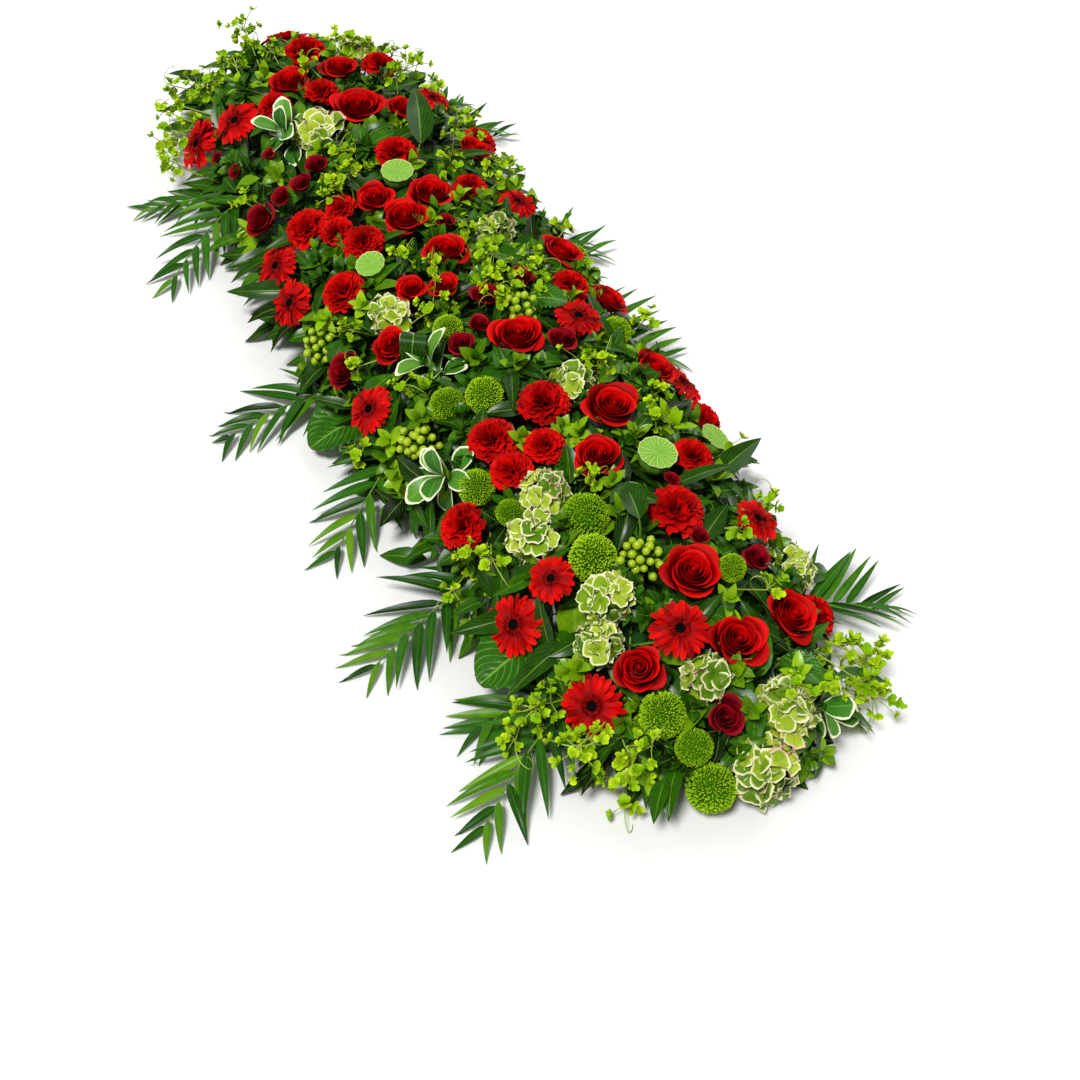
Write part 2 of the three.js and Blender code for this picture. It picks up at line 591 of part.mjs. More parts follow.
// A leaf that widens out of its petiole: its outline is cupped round a raised midrib
function leafSolid(petiole, tip, width, up) {
  const base = petiole[petiole.length - 1];
  const along = tip.clone().sub(base);
  const length = along.length();
  along.normalize();
  const side = up.clone().cross(along).normalize();
  const upright = along.clone().cross(side);
  const at = (part, out, rise) => base.clone()
    .addScaledVector(along, part * length)
    .addScaledVector(side, out * width / 2)
    .addScaledVector(upright, rise);
  const rise = LEAF.cup * width;
  const outline = [at(-0.03, 0, 1), at(0.32, -0.95, rise), at(0.68, -0.78, rise), at(1, 0, 0),
    at(0.68, 0.78, rise), at(0.32, 0.95, rise)];
  const neck = base.clone().addScaledVector(upright, -LEAF.thickness * 0.6);
  const axis = neck.clone().sub(petiole[petiole.length - 2]).normalize().add(upright).normalize();
  const stalk = stemSections([...petiole.slice(0, -1), neck], LEAF.petiole, 3, axis, along.clone().negate());
  return skin([...stalk, outline, [at(0.45, 0, LEAF.thickness * 0.4)]]);
}

// A lobed cluster that the end of its twig widens into
function clusterSolid(twig, centre, facing, turn) {
  const frame = frameFor(facing, turn);
  const outline = ring(centre, frame, TWIG.corners, (i) => TWIG.cluster * (i % 2 === 0 ? 1 : TWIG.notch));
  const top = centre.clone().addScaledVector(facing, TWIG.thickness / 2);
  const neck = centre.clone().addScaledVector(facing, -TWIG.thickness);
  const axis = neck.clone().sub(twig[twig.length - 1]).normalize().add(facing).normalize();
  const side = new THREE.Vector3().setFromMatrixColumn(frame, 0);
  return skin([...stemSections([...twig, neck], TWIG.radius, TWIG.side, axis, side), outline, [top]]);
}

// A twig: it ends in a cluster of its own, and forks below it into side twigs with theirs
function twigSolid(route, along) {
  const frame = frameFor(along);
  const fork = route[route.length - 1];
  const back = route[route.length - 2].clone().sub(fork).normalize();
  const facing = along.clone().add(UP).normalize();
  const crown = fork.clone().addScaledVector(along, TWIG.spread);
  const sides = Array.from({ length: TWIG.clusters }, (_, i) => {
    const turn = 2 * Math.PI * i / TWIG.clusters + 0.6;
    const out = vec(Math.cos(turn), Math.sin(turn), 0.4).multiplyScalar(TWIG.spread * 0.85);
    const centre = fork.clone().add(out.applyMatrix4(frame));
    return clusterSolid([fork.clone().addScaledVector(back, 3 + 5 * i)], centre, facing, turn);
  });
  return join([clusterSolid(route, crown, facing, 0), ...sides]);
}

// A sprig: a stem with a rosette of broad leaves at its end
function sprigSolid(route, along) {
  const frame = frameFor(along);
  const base = route[route.length - 1];
  const back = route[route.length - 2].clone().sub(base).normalize();
  const leaves = Array.from({ length: SPRIG.leaves }, (_, i) => {
    const turn = 2 * Math.PI * i / SPRIG.leaves;
    const out = vec(Math.cos(turn), Math.sin(turn), SPRIG.opening).normalize().applyMatrix4(frame);
    const start = base.clone().addScaledVector(back, 3 + 4 * i);
    const end = start.clone().addScaledVector(out, SPRIG.length);
    return leafSolid([start, start.clone().addScaledVector(out, 9)], end, SPRIG.width, along);
  });
  return join([stemSolid(route, SPRIG.radius, 3), ...leaves]);
}

const solids = [];
const laid = [];
const heads = headsOf(PLAN);
settle(heads);

// A loose scrap that fusing leaves is dropped
function lay(name, fused, paint) {
  const [solid] = fused.decompose().sort((p, q) => q.volume() - p.volume());
  solids.push({ name, solid, paint, box: solid.boundingBox() });
}

// A point where a side root leaves the foam, and the run inside the foam behind it
function sideRoot(x, side, height) {
  const hub = vec(x, side * (FOAM.width / 2 + TRUNK.reach), height);
  const root = vec(x, side * (FOAM.width / 2 - TRUNK.depth), height);
  return { hub, root };
}

function addRun(a, b, radius, owner) {
  laid.push({ a, b, radius, owner });
}

const trunks = [];

function addTrunk(trunk, owner) {
  trunks.push(trunk);
  addRun(trunk.hub, trunk.root, TRUNK.radius, owner);
}

// Palm fronds
const frondNodes = Object.entries(FRONDS).map(([name, { root: [x, side], fronds }]) => {
  const trunk = sideRoot(x, side, FROND.rootHeight);
  addTrunk(trunk);
  const parts = fronds.map(([bendX, bendY, tipX, tipY, leaflet], i) => {
    const tip = vec(tipX, tipY, FROND.tipHeight);
    const bend = vec(bendX, bendY, FROND.bendHeight + FROND.over * i);
    const start = trunk.hub.clone().lerp(bend, FROND.start);
    addRun(trunk.hub, start, FROND.rib);
    addRun(start, bend, FROND.rib);
    const behind = start.clone().sub(trunk.hub).normalize().multiplyScalar(3);
    return frondSolid(start, bend, tip, leaflet).add(stemSolid([trunk.hub, start.clone().add(behind)], FROND.rib, 3));
  });
  return { name, trunk, solid: join([trunkSolid(trunk), ...parts]) };
});
frondNodes.forEach(({ name, solid }) => lay(name, solid, 'palm'));

// Leafy branches: the stem lies along the foam's edge, with a bent root into the foam's side
const branchNodes = Object.entries(BRANCHES).map(([name, [x, side]]) => {
  const y = side * (FOAM.width / 2 + BRANCH.outside);
  const z = FOAM.top + BRANCH.above;
  const trunk = { hub: vec(x, y, 70), root: vec(x, side * (FOAM.width / 2 - TRUNK.depth), 70) };
  addTrunk(trunk, name);
  const ends = [vec(x - BRANCH.half, y, z), vec(x + BRANCH.half, y, z)];
  addRun(ends[0], ends[1], BRANCH.radius, name);
  addRun(vec(x, y, 66), vec(x, y, z), BRANCH.radius, name);
  const stem = stemSolid(ends, BRANCH.radius, 4);
  const post = stemSolid([vec(x, y, 66), vec(x, y, z + 1)], BRANCH.radius, 4);
  return { name, x, y, z, side, parts: [trunkSolid(trunk), post, stem], leaves: [] };
});

// Bunches of heads, the fullest first
const bunches = Object.keys(PLAN).map((name) => ({ name, owners: heads.filter((head) => head.bunch === name) }));
bunches.sort((p, q) => q.owners.length - p.owners.length);
bunches.forEach(({ name, owners }) => {
  const trunk = findTrunk(name, owners, heads, laid);
  addTrunk(trunk);
  const shapes = owners.map((head, i) => {
    const route = trunk.stems[i];
    route.slice(1).forEach((point, k) => addRun(route[k], point, STEM.radius));
    return head.form === 'berries' ? berrySolid(head, route) : headSolid(head, route);
  });
  lay(name, join([trunkSolid(trunk), ...shapes]), FORMS[owners[0].form].paint);
});

const SHIFTS = [[0, 0, 0], [GAP, 0, 0], [-GAP, 0, 0], [0, GAP, 0], [0, -GAP, 0], [0, 0, GAP], [0, 0, -GAP]]
  .map((shift) => vec(...shift));

// A new end is free when it overlaps nothing, even when it is moved a gap's width each way
function isFree(makeAt, others) {
  return SHIFTS.every((shift) => {
    const solid = makeAt(shift);
    const box = solid.boundingBox();
    return solid.volume() > 0 && box.min[2] > 0.5
      && others.every((other) => !boxesMeet(box, other.box) || solid.intersect(other.solid).isEmpty());
  });
}

// A skin is sound when none of its edges runs through one of its faces
function isSound(solid) {
  const geometry = geometryOf(solid);
  const places = geometry.attributes.position;
  const corners = [...geometry.index.array].map((i) => vec(0, 0, 0).fromBufferAttribute(places, i));
  const ray = new THREE.Ray();
  const hit = vec(0, 0, 0);
  return corners.every((from, e) => {
    const to = corners[e - e % 3 + (e + 1) % 3];
    const length = from.distanceTo(to);
    ray.set(from, to.clone().sub(from).divideScalar(length));
    for (let f = 0; f < corners.length; f += 3) {
      if (ray.intersectTriangle(corners[f], corners[f + 1], corners[f + 2], false, hit)) {
        const reach = hit.distanceTo(from);
        if (reach > EDGE_END && reach < length - EDGE_END) {
          return false;
        }
      }
    }
    return true;
  });
}

function moved(points, shift) {
  return points.map((point) => point.clone().add(shift));
}

function othersLaid(name) {
  return laid.filter((run) => run.owner !== name);
}

// Twig sprays and sprigs: each tip wanders a little, by a seeded draw, until its end hangs clear
function grow(nodes, make, settings, paint) {
  Object.entries(nodes).forEach(([name, { root: [x, side], tips }], index) => {
    const random = seeded(SEED + index);
    const aim = tips.map(([tx, ty, tz]) => vec(tx, ty, tz));
    const feet = aim.map((tip) => ({ foot: tip, facing: UP }));
    const hubs = (side === 0 ? trunkPlaces(x) : [...trunkPlaces(x), ...endPlaces()])
      .concat([-40, -20, 20, 40].flatMap((shift) => trunkPlaces(x + shift)))
      .filter(([hub]) => side === 0 || hub.y * side > 20);
    const place = hubs.find(([hub, inward]) => {
      const root = hub.clone().addScaledVector(inward, TRUNK.depth + TRUNK.reach);
      return laid.every((run) => runDistance(hub, root, run.a, run.b) > TRUNK.radius + run.radius + 1.5);
    });
    const trunk = { hub: place[0], root: place[0].clone().addScaledVector(place[1], TRUNK.depth + TRUNK.reach) };
    addTrunk(trunk, name);
    const parts = [trunkSolid(trunk)];
    feet.forEach(({ foot }) => {
      for (let attempt = 0; attempt < settings.tries; attempt += 1) {
        const stray = vec(random() - 0.5, random() - 0.5, random() - 0.5).multiplyScalar(settings.wander * 2);
        stray.multiplyScalar(Math.min(1, attempt / 20));
        const tip = foot.clone().add(stray);
        const along = tip.clone().sub(trunk.hub).normalize().add(moundFacing(tip.x, tip.y)).normalize();
        const fork = tip.clone().addScaledVector(along, -settings.spread);
        const bend = trunk.hub.clone().lerp(fork, 0.3 + 0.5 * random());
        bend.add(vec(random() - 0.5, random() - 0.5, random()).multiplyScalar(attempt % 2 === 0 ? 20 : 60));
        const clear = clearRun(trunk.hub, bend, settings.radius, heads, othersLaid(name), null)
          && clearRun(bend, fork, settings.radius, heads, othersLaid(name), null);
        if (clear) {
          const makeAt = (shift) => make(moved([trunk.hub, bend, fork], shift), along);
          if (isFree(makeAt, solids)) {
            parts.push(makeAt(SHIFTS[0]));
            addRun(trunk.hub, bend, settings.radius, name);
            addRun(bend, fork, settings.radius, name);
            return;
          }
        }
      }
    });
    lay(name, join(parts), paint);
  });
}
grow(SPRIGS, sprigSolid, SPRIG, 'edged');
grow(TWIGS, twigSolid, TWIG, 'twig');

// A leaf of a branch is grown when its petiole rises to it, or runs on into it, and both lie clear
function growLeaf(branch, base, tip, width, up, shift) {
  const end = BRANCH.half - 6;
  const from = vec(THREE.MathUtils.clamp(base.x + shift, branch.x - end, branch.x + end), branch.y, branch.z);
  const way = base.clone().sub(from).normalize();
  const along = tip.clone().sub(base).normalize();
  const upright = up.clone().addScaledVector(along, -up.dot(along)).normalize();
  const middle = base.clone().lerp(tip, 0.5);
  const fits = way.dot(along) > LEAF.straight || (way.dot(along) > 0 && way.dot(upright) > LEAF.rise);
  if (!fits || heads.some((head) => inHead(tip, head, 2) || inHead(middle, head, 4))
    || !clearRun(from.clone().lerp(base, 0.08), base, LEAF.petiole, heads, othersLaid(branch.name), null)) {
    return false;
  }
  const makeAt = (move) => {
    const [first, last, point] = moved([from, base, tip], move);
    return leafSolid([first, last], point, width, up);
  };
  if (!isFree(makeAt, [...solids, ...branch.leaves])) {
    return false;
  }
  const solid = makeAt(SHIFTS[0]);
  if (!isSound(solid)) {
    return false;
  }
  branch.leaves.push({ solid, box: solid.boundingBox() });
  addRun(from, base, LEAF.petiole, branch.name);
  return true;
}

function growBroadLeaf(branch, [x, y, z, length, width, heading], random) {
  for (let attempt = 0; attempt < BROAD_TRIES; attempt += 1) {
    const loose = attempt / BROAD_TRIES;
    const stray = vec(random() - 0.5, random() - 0.5, random() - 0.5).multiplyScalar(120 * loose);
    const turn = THREE.MathUtils.degToRad(heading + 80 * loose * (random() - 0.5));
    const size = 1 - 0.3 * loose;
    const reach = vec(Math.cos(turn), Math.sin(turn), 0).multiplyScalar(length * size / 2);
    const middle = vec(x, y, z).add(stray);
    const base = middle.clone().sub(reach);
    const tip = middle.clone().add(reach);
    base.z -= 8;
    tip.z = Math.max(tip.z - 8, 6);
    const shift = LEAF.shifts[attempt % LEAF.shifts.length];
    if (growLeaf(branch, base, tip, width * size, moundFacing(middle.x, middle.y), shift)) {
      return true;
    }
  }
  return false;
}

// The other leaves are tried at seeded places over the branch's stretch of the mound, each third one low at its edge
branchNodes.forEach((branch, index) => {
  const random = seeded(SEED + 100 + index);
  BROAD[branch.name].forEach((plan) => growBroadLeaf(branch, plan, random));
  let grown = 0;
  for (let attempt = 0; attempt < BRANCH.tries && grown < BRANCH.leaves; attempt += 1) {
    const skirt = grown % 3 === 0;
    const across = branch.side * (skirt ? 175 + 60 * random() : 10 + 190 * random());
    const base = onMound(branch.x + (2 * random() - 1) * (BRANCH.half + 30), across);
    base.z = skirt ? 24 + 30 * random() : base.z - 14 - 10 * random();
    const turn = (skirt ? Math.PI / 2 * branch.side : 2 * Math.PI * random()) + 0.5 * (random() - 0.5);
    const length = BRANCH.length * (0.8 + 0.5 * random());
    const tip = base.clone().add(vec(Math.cos(turn) * length, Math.sin(turn) * length, 0));
    tip.z = skirt ? Math.max(6, base.z - 24) : Math.max(moundHeight(tip.x, tip.y) + 4, 6);
    const width = BRANCH.width * (0.8 + 0.5 * random());
    const shift = LEAF.shifts[attempt % LEAF.shifts.length];
    grown += growLeaf(branch, base, tip, width, moundFacing(base.x, across), shift) ? 1 : 0;
  }
  lay(branch.name, join([...branch.parts, ...branch.leaves.map(({ solid }) => solid)]), 'leaf');
});

// Wet foam blocks, with a plain hole for every trunk
FOAM.blocks.forEach((name, i) => {
  const middle = (i - 1) * BLOCK_STEP;
  const bottom = TRAY.floor + GAP;
  const box = new THREE.BoxGeometry(FOAM.length, FOAM.width, FOAM.top - bottom);
  box.translate(middle, 0, (FOAM.top + bottom) / 2);
  const block = trunks
    .filter(({ root }) => Math.abs(root.x - middle) < BLOCK_STEP / 2)
    .reduce((whole, trunk) => whole.subtract(trunkSolid(trunk, GAP)), solidOf(box));
  lay(name, block, 'foam');
});

// The tray: a rounded box with a rim, and a pocket for each block
function roundedSlab(halfLength, halfWidth, corner, bottom, top) {
  const outline = new THREE.Shape();
  outline.moveTo(halfLength, -halfWidth + corner);
  outline.absarc(halfLength - corner, halfWidth - corner, corner, 0, Math.PI / 2);
  outline.absarc(-halfLength + corner, halfWidth - corner, corner, Math.PI / 2, Math.PI);
  outline.absarc(-halfLength + corner, -halfWidth + corner, corner, Math.PI, 1.5 * Math.PI);
  outline.absarc(halfLength - corner, -halfWidth + corner, corner, 1.5 * Math.PI, 2 * Math.PI);
  const slab = new THREE.ExtrudeGeometry(outline, { depth: top - bottom, bevelEnabled: false, curveSegments: 2 });
  return solidOf(slab.translate(0, 0, bottom));
}

const shell = roundedSlab(TRAY_HALF_LENGTH, TRAY_HALF_WIDTH, TRAY.corner, 0, TRAY.height);
const rim = roundedSlab(TRAY_HALF_LENGTH + TRAY.rim, TRAY_HALF_WIDTH + TRAY.rim, TRAY.corner + TRAY.rim,
  TRAY.height - TRAY.rimHeight, TRAY.height);
const tray = FOAM.blocks.reduce((whole, name, i) => {
  const pocket = new THREE.BoxGeometry(FOAM.length + 2 * GAP, FOAM.width + 2 * GAP, TRAY.height);
  pocket.translate((i - 1) * BLOCK_STEP, 0, TRAY.floor + TRAY.height / 2);
  return whole.subtract(solidOf(pocket));
}, shell.add(rim));
lay('holder_tray', tray, 'tray');

const spray = new THREE.Group();
solids.forEach(({ name, solid, paint }) => {
  const mesh = new THREE.Mesh(geometryOf(solid), new THREE.MeshStandardMaterial(PAINT[paint]));
  mesh.name = name;
  spray.add(mesh);
});

export default spray;
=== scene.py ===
"""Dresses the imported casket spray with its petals, leaves, twigs and fronds.

The spray runs along X, its crest is at the top, and the tray's underside is on z = 0. Plans are in mm, as
a florist would measure them, and every mesh is in metres. Each piece rides on the frame's one body and
replaces the plain solids that it stands for. The tray and the foam keep their solids and get their finishes.
"""
import logging
import math
from dataclasses import dataclass
from enum import Enum

import bpy
import numpy as np
from mathutils import Matrix


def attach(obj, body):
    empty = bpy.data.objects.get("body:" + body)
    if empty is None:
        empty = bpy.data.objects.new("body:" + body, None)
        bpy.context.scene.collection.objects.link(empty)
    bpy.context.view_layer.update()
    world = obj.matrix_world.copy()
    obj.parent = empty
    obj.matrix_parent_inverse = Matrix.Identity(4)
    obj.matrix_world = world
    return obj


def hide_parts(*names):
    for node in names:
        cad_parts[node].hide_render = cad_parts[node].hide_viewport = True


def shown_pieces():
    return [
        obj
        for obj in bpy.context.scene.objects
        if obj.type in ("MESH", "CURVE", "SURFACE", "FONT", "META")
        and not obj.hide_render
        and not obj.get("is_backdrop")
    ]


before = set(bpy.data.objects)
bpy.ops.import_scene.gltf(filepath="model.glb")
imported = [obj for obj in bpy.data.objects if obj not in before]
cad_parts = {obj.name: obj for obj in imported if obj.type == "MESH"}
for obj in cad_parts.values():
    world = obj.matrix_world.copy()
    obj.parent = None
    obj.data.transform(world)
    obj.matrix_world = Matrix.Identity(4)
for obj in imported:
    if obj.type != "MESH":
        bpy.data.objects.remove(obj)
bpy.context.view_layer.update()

# Short names for types: arrays, two or three measures, two counts
Array = np.ndarray
Pair, Triple = tuple[float, float], tuple[float, float, float]
Counts = tuple[int, int]
Chance = np.random.Generator
Tree, Node, Socket = bpy.types.NodeTree, bpy.types.Node, bpy.types.NodeSocket
LOG = logging.getLogger("casket_spray")
MM = 0.001
GOLDEN = math.pi * (3 - math.sqrt(5))
# What a turn is drawn from, and the corners of a triangle, in radians
ANY_TURN = (0.0, 6.28)
THIRDS = (0.0, 2.0944, 4.1888)

# The mound, in mm: (z/height)^2 + |x/half length|^4 + |y/half width|^2.2 = 1
MOUND_LENGTH, MOUND_WIDTH, MOUND_HEIGHT = 915.0, 262.0, 205.0
END_POWER, SIDE_POWER = 4.0, 2.2
# How near its edge heads may come, as a part of that sum and as x in mm
RIM, X_LIMIT = 0.93, 892.0
# How the heads lean from the mound's normal towards where the spray is seen from
LEAN = np.array([0.15, -0.12, 0.35])
# The foam's half length, half width and top, in mm
FOAM_HALF = np.array([664.7, 75.0])
FOAM_TOP = 92.0
# How far stems run together outside the foam, and how deep they stand in it, in mm
HUB_REACH, ROOT_DEPTH = 14.0, 30.0
# Each branch's stretch of x on either side of its middle, and where the end stretches begin, in mm
STRETCH, END_STRETCH, MIDDLE_REACH = (-228, 228), (-232, 440), 300


class Form(Enum):
    """The kinds of head."""

    ROSE = "rose"
    SMALL_ROSE = "small rose"
    CARNATION = "carnation"
    GERBERA = "gerbera"
    BALL = "green ball"
    HYDRANGEA = "hydrangea"
    POD = "seed pod"
    BERRIES = "berries"


# Foot of each form's head, its sink below the mound and how far its petals overreach, in parts of its radius
FOOT = {Form.ROSE: -1.0, Form.SMALL_ROSE: -1.3, Form.CARNATION: -1.1, Form.GERBERA: -0.3, Form.BALL: -1.5,
        Form.HYDRANGEA: -1.3, Form.POD: -1.4, Form.BERRIES: -1.2}
SINK = {Form.ROSE: 0.3, Form.SMALL_ROSE: 0.4, Form.CARNATION: 0.3, Form.GERBERA: 0.02, Form.BALL: 0.6,
        Form.HYDRANGEA: 0.4, Form.POD: 0.3, Form.BERRIES: 0.45}
OVERREACH = {Form.ROSE: 1.08, Form.SMALL_ROSE: 1.12, Form.CARNATION: 1.16, Form.GERBERA: 1.08,
             Form.BALL: 1.08, Form.HYDRANGEA: 1.2, Form.POD: 1.0, Form.BERRIES: 1.1}

# The planting plan: bunch, form, and its heads as x, y, width in mm
PLAN: dict[str, tuple[Form, list[Triple]]] = {
    "roses_far_end": (Form.ROSE, [(-870, 20, 88), (-600, 20, 66), (-590, -75, 72)]),
    "roses_far": (Form.ROSE, [(-460, -5, 88), (-440, 72, 60), (-325, 150, 64)]),
    "roses_middle_far": (Form.ROSE, [(-210, -90, 60), (-192, 8, 74), (-158, -57, 74), (-50, -30, 68)]),
    "roses_middle": (Form.ROSE, [(5, -112, 48), (22, -68, 46), (73, -171, 60), (166, -10, 78)]),
    "roses_middle_near": (Form.ROSE, [(340, 46, 80), (424, -18, 70)]),
    "roses_near": (Form.ROSE, [(633, 2, 80), (721, 122, 76), (744, 10, 74), (730, -115, 64)]),
    "roses_right": (Form.ROSE, [(-40, 168, 70), (60, 205, 62), (250, 175, 70)]),
    "spray_roses_far": (Form.SMALL_ROSE, [(-333, -222, 60), (-330, -185, 38), (-345, -125, 42),
                                          (-328, -156, 38), (-470, -215, 28), (-436, -169, 24),
                                          (-546, -222, 24)]),
    "spray_roses_middle": (Form.SMALL_ROSE, [(140, -95, 44), (124, -54, 36), (70, -17, 48), (-114, -1, 32),
                                             (191, 39, 46), (45, 50, 44), (42, -232, 62)]),
    "spray_roses_near": (Form.SMALL_ROSE, [(817, -51, 54), (637, 112, 44), (588, 45, 30), (497, 56, 26)]),
    "gerberas_far": (Form.GERBERA, [(-632, -222, 88), (-562, -172, 80)]),
    "gerberas_middle": (Form.GERBERA, [(-222, -233, 70), (-142, -240, 74), (142, -228, 70)]),
    "gerberas_near": (Form.GERBERA, [(579, -209, 76), (565, -150, 60), (729, -172, 76), (715, -46, 74)]),
    "gerberas_right_far": (Form.GERBERA, [(-480, 140, 62), (-154, 142, 62)]),
    "gerberas_right_near": (Form.GERBERA, [(153, 90, 70), (250, 228, 68), (572, 150, 64)]),
    "carnations_far": (Form.CARNATION, [(-700, -5, 72), (-534, -40, 54), (-549, -124, 54)]),
    "carnations_middle_far": (Form.CARNATION, [(-305, -2, 66), (-228, -167, 70), (-220, -128, 46),
                                               (-173, -143, 48), (-137, -139, 62), (-80, -179, 64)]),
    "carnations_middle": (Form.CARNATION, [(301, -40, 68), (327, -131, 64), (392, -131, 56), (377, -85, 54),
                                           (408, -210, 64)]),
    "carnations_near": (Form.CARNATION, [(541, 39, 72), (451, 111, 58), (690, 205, 58)]),
    "carnations_right_far": (Form.CARNATION, [(-196, 80, 54), (-390, 195, 58), (-620, 105, 60)]),
    "carnations_right_near": (Form.CARNATION, [(330, 222, 60), (60, 130, 56)]),
    "green_balls_middle": (Form.BALL, [(241, -109, 54), (225, -150, 50), (104, -96, 44), (379, -161, 50)]),
    "green_balls_near": (Form.BALL, [(501, -96, 64), (567, -93, 64), (441, -159, 38)]),
    "green_balls_near_end": (Form.BALL, [(777, -108, 60), (863, -100, 64), (840, -84, 48), (644, 68, 38)]),
    "green_balls_right": (Form.BALL, [(160, 160, 48), (-80, 225, 50)]),
    "hydrangeas_far": (Form.HYDRANGEA, [(-432, -81, 78), (-700, 100, 64)]),
    "hydrangeas_middle": (Form.HYDRANGEA, [(-82, 71, 52), (20, -150, 54), (284, 20, 52)]),
    "hydrangeas_near": (Form.HYDRANGEA, [(435, -110, 62), (493, -141, 64), (629, -114, 62), (665, -127, 58)]),
    "hydrangeas_near_end": (Form.HYDRANGEA, [(778, -40, 56), (844, 40, 80), (878, -23, 78), (620, 205, 60)]),
    "seed_pods_far": (Form.POD, [(-266, -17, 52), (-109, -142, 46)]),
    "seed_pods_near": (Form.POD, [(447, 67, 56), (400, 190, 48)]),
    "berries_middle": (Form.BERRIES, [(-46, -243, 58), (98, 22, 54), (241, -207, 58)]),
    "berries_near": (Form.BERRIES, [(591, -46, 56)]),
}

# Fronds: x and side of the root, and each frond's bend x, y, tip x, y and leaflet length, in mm
FRONDS: dict[str, tuple[float, int, list[tuple[float, float, float, float, float]]]] = {
    "palm_fronds_left_far": (-500, -1, [(-522, -225, -548, -340, 70), (-478, -230, -350, -366, 84)]),
    "palm_fronds_left_middle": (80, -1, [(-30, -235, 28, -404, 88), (192, -215, 300, -345, 88)]),
    "palm_frond_left_inner": (425, -1, [(440, -240, 508, -372, 92)]),
    "palm_fronds_left_near": (655, -1, [(640, -190, 652, -290, 84), (706, -240, 792, -345, 88)]),
    "palm_fronds_right_far": (-590, 1, [(-590, 190, -560, 318, 70), (-640, 180, -668, 292, 60)]),
    "palm_fronds_right_middle": (-105, 1, [(-250, 200, -185, 312, 84), (50, 200, 96, 302, 84)]),
    "palm_frond_right_near": (640, 1, [(632, 215, 676, 322, 92)]),
}

# Twig sprays: the ends of their twigs, in mm
TWIGS: dict[str, list[Triple]] = {
    "twigs_far_left": [(-905, -70, 140), (-800, -215, 80), (-690, -300, 60)],
    "twigs_far_right": [(-830, 120, 120), (-690, 235, 110), (-540, 225, 130)],
    "twigs_right": [(-370, 215, 130), (-250, 95, 222), (-330, -90, 212)],
    "twigs_crest_far": [(-90, 55, 232), (-20, 15, 236), (60, -115, 216)],
    "twigs_crest_near": [(245, 85, 224), (330, 135, 190), (395, -70, 222)],
    "twigs_near_left": [(440, -236, 60), (735, -262, 60), (805, -285, 90), (878, -205, 70)],
    "twigs_near_right": [(800, 150, 95), (805, 245, 70), (872, 225, 60)],
}
# Lesser twig ends that stand among the heads, given to the nearest spray, in mm
SMALL_TWIGS: list[Triple] = [
    (-743, -85, 176), (-686, -71, 192), (-752, -145, 147), (-701, -131, 169), (-720, -178, 133),
    (-776, -233, 80), (-738, -268, 70), (-719, -240, 80), (-627, -302, 74), (-596, -302, 70),
    (-563, -296, 74), (-688, 70, 192), (-681, 105, 184), (-646, 145, 173), (-745, 250, 80), (-531, 98, 205),
    (-454, 203, 156), (-340, 120, 208), (-264, 163, 190), (-277, 199, 166), (-191, 136, 203),
    (-602, -50, 208), (-339, -91, 214), (-280, -91, 216), (-280, -127, 206), (-249, -145, 199),
    (-60, -91, 216), (-75, 16, 225), (-7, 9, 225), (40, -2, 225), (75, -236, 129), (165, -195, 170),
    (176, -272, 60), (454, -229, 129), (503, -211, 144), (473, -260, 71), (689, -242, 30), (727, -290, 70),
    (844, -187, 30), (808, -201, 47), (760, -204, 80), (825, -153, 109), (829, 62, 150), (839, 114, 126),
    (760, 209, 76), (798, 235, 74), (831, 190, 78), (319, 145, 196), (386, 96, 212), (258, 76, 218),
    (462, -56, 216), (609, 104, 193), (692, 102, 180), (-120, 225, 150), (130, 232, 150), (430, 215, 140),
    (540, 205, 150), (-560, 190, 150), (10, -215, 150), (-400, -235, 110), (21, 25, 221), (66, 23, 220),
    (82, -14, 221), (44, 64, 218), (16, 97, 212), (-19, -70, 218), (-40, 45, 220), (95, 66, 216),
]
# Sprigs of cream-edged leaves: the middles of their rosettes, in mm
SPRIGS: dict[str, list[Triple]] = {
    "edged_sprig_far": [(-480, -140, 176)],
    "edged_sprigs_middle": [(345, -212, 128), (125, -150, 176)],
    "edged_sprig_near_end": [(850, 125, 70)],
}
# Leafy branches: x of the middle, in mm, and side
BRANCHES: dict[str, tuple[float, int]] = {
    "leafy_branch_left_far": (-452, -1), "leafy_branch_left_middle": (0, -1),
    "leafy_branch_left_near": (452, -1), "leafy_branch_right_far": (-452, 1),
    "leafy_branch_right_middle": (0, 1), "leafy_branch_right_near": (452, 1),
}
# Broad and strap-shaped leaves: x, y, z of the middle, length and width in mm, and heading in degrees
BROAD: dict[str, list[tuple[float, float, float, float, float, float]]] = {
    "leafy_branch_left_far": [(-250, -225, 90, 80, 20, -120), (-205, -262, 70, 120, 34, -115),
                              (-238, -205, 128, 96, 28, -95), (-312, -236, 46, 104, 34, -100),
                              (-336, -246, 40, 90, 30, -120), (-288, -246, 52, 96, 30, -78)],
    "leafy_branch_left_middle": [(95, -259, 34, 96, 84, -80)],
    "leafy_branch_left_near": [(605, -225, 66, 104, 88, -75), (650, -215, 92, 110, 34, -70),
                               (556, -238, 88, 100, 32, -100), (520, -22, 206, 80, 34, 165)],
    "leafy_branch_right_far": [(-375, 66, 222, 150, 44, 160), (-348, 41, 203, 66, 26, 100),
                               (-293, 133, 179, 72, 20, 80)],
    "leafy_branch_right_middle": [(107, 64, 202, 56, 48, 60)],
    "leafy_branch_right_near": [(493, 111, 182, 96, 20, 90), (455, 190, 150, 120, 34, 110),
                                (516, -5, 200, 66, 30, 60), (790, 95, 110, 60, 46, 20)],
}
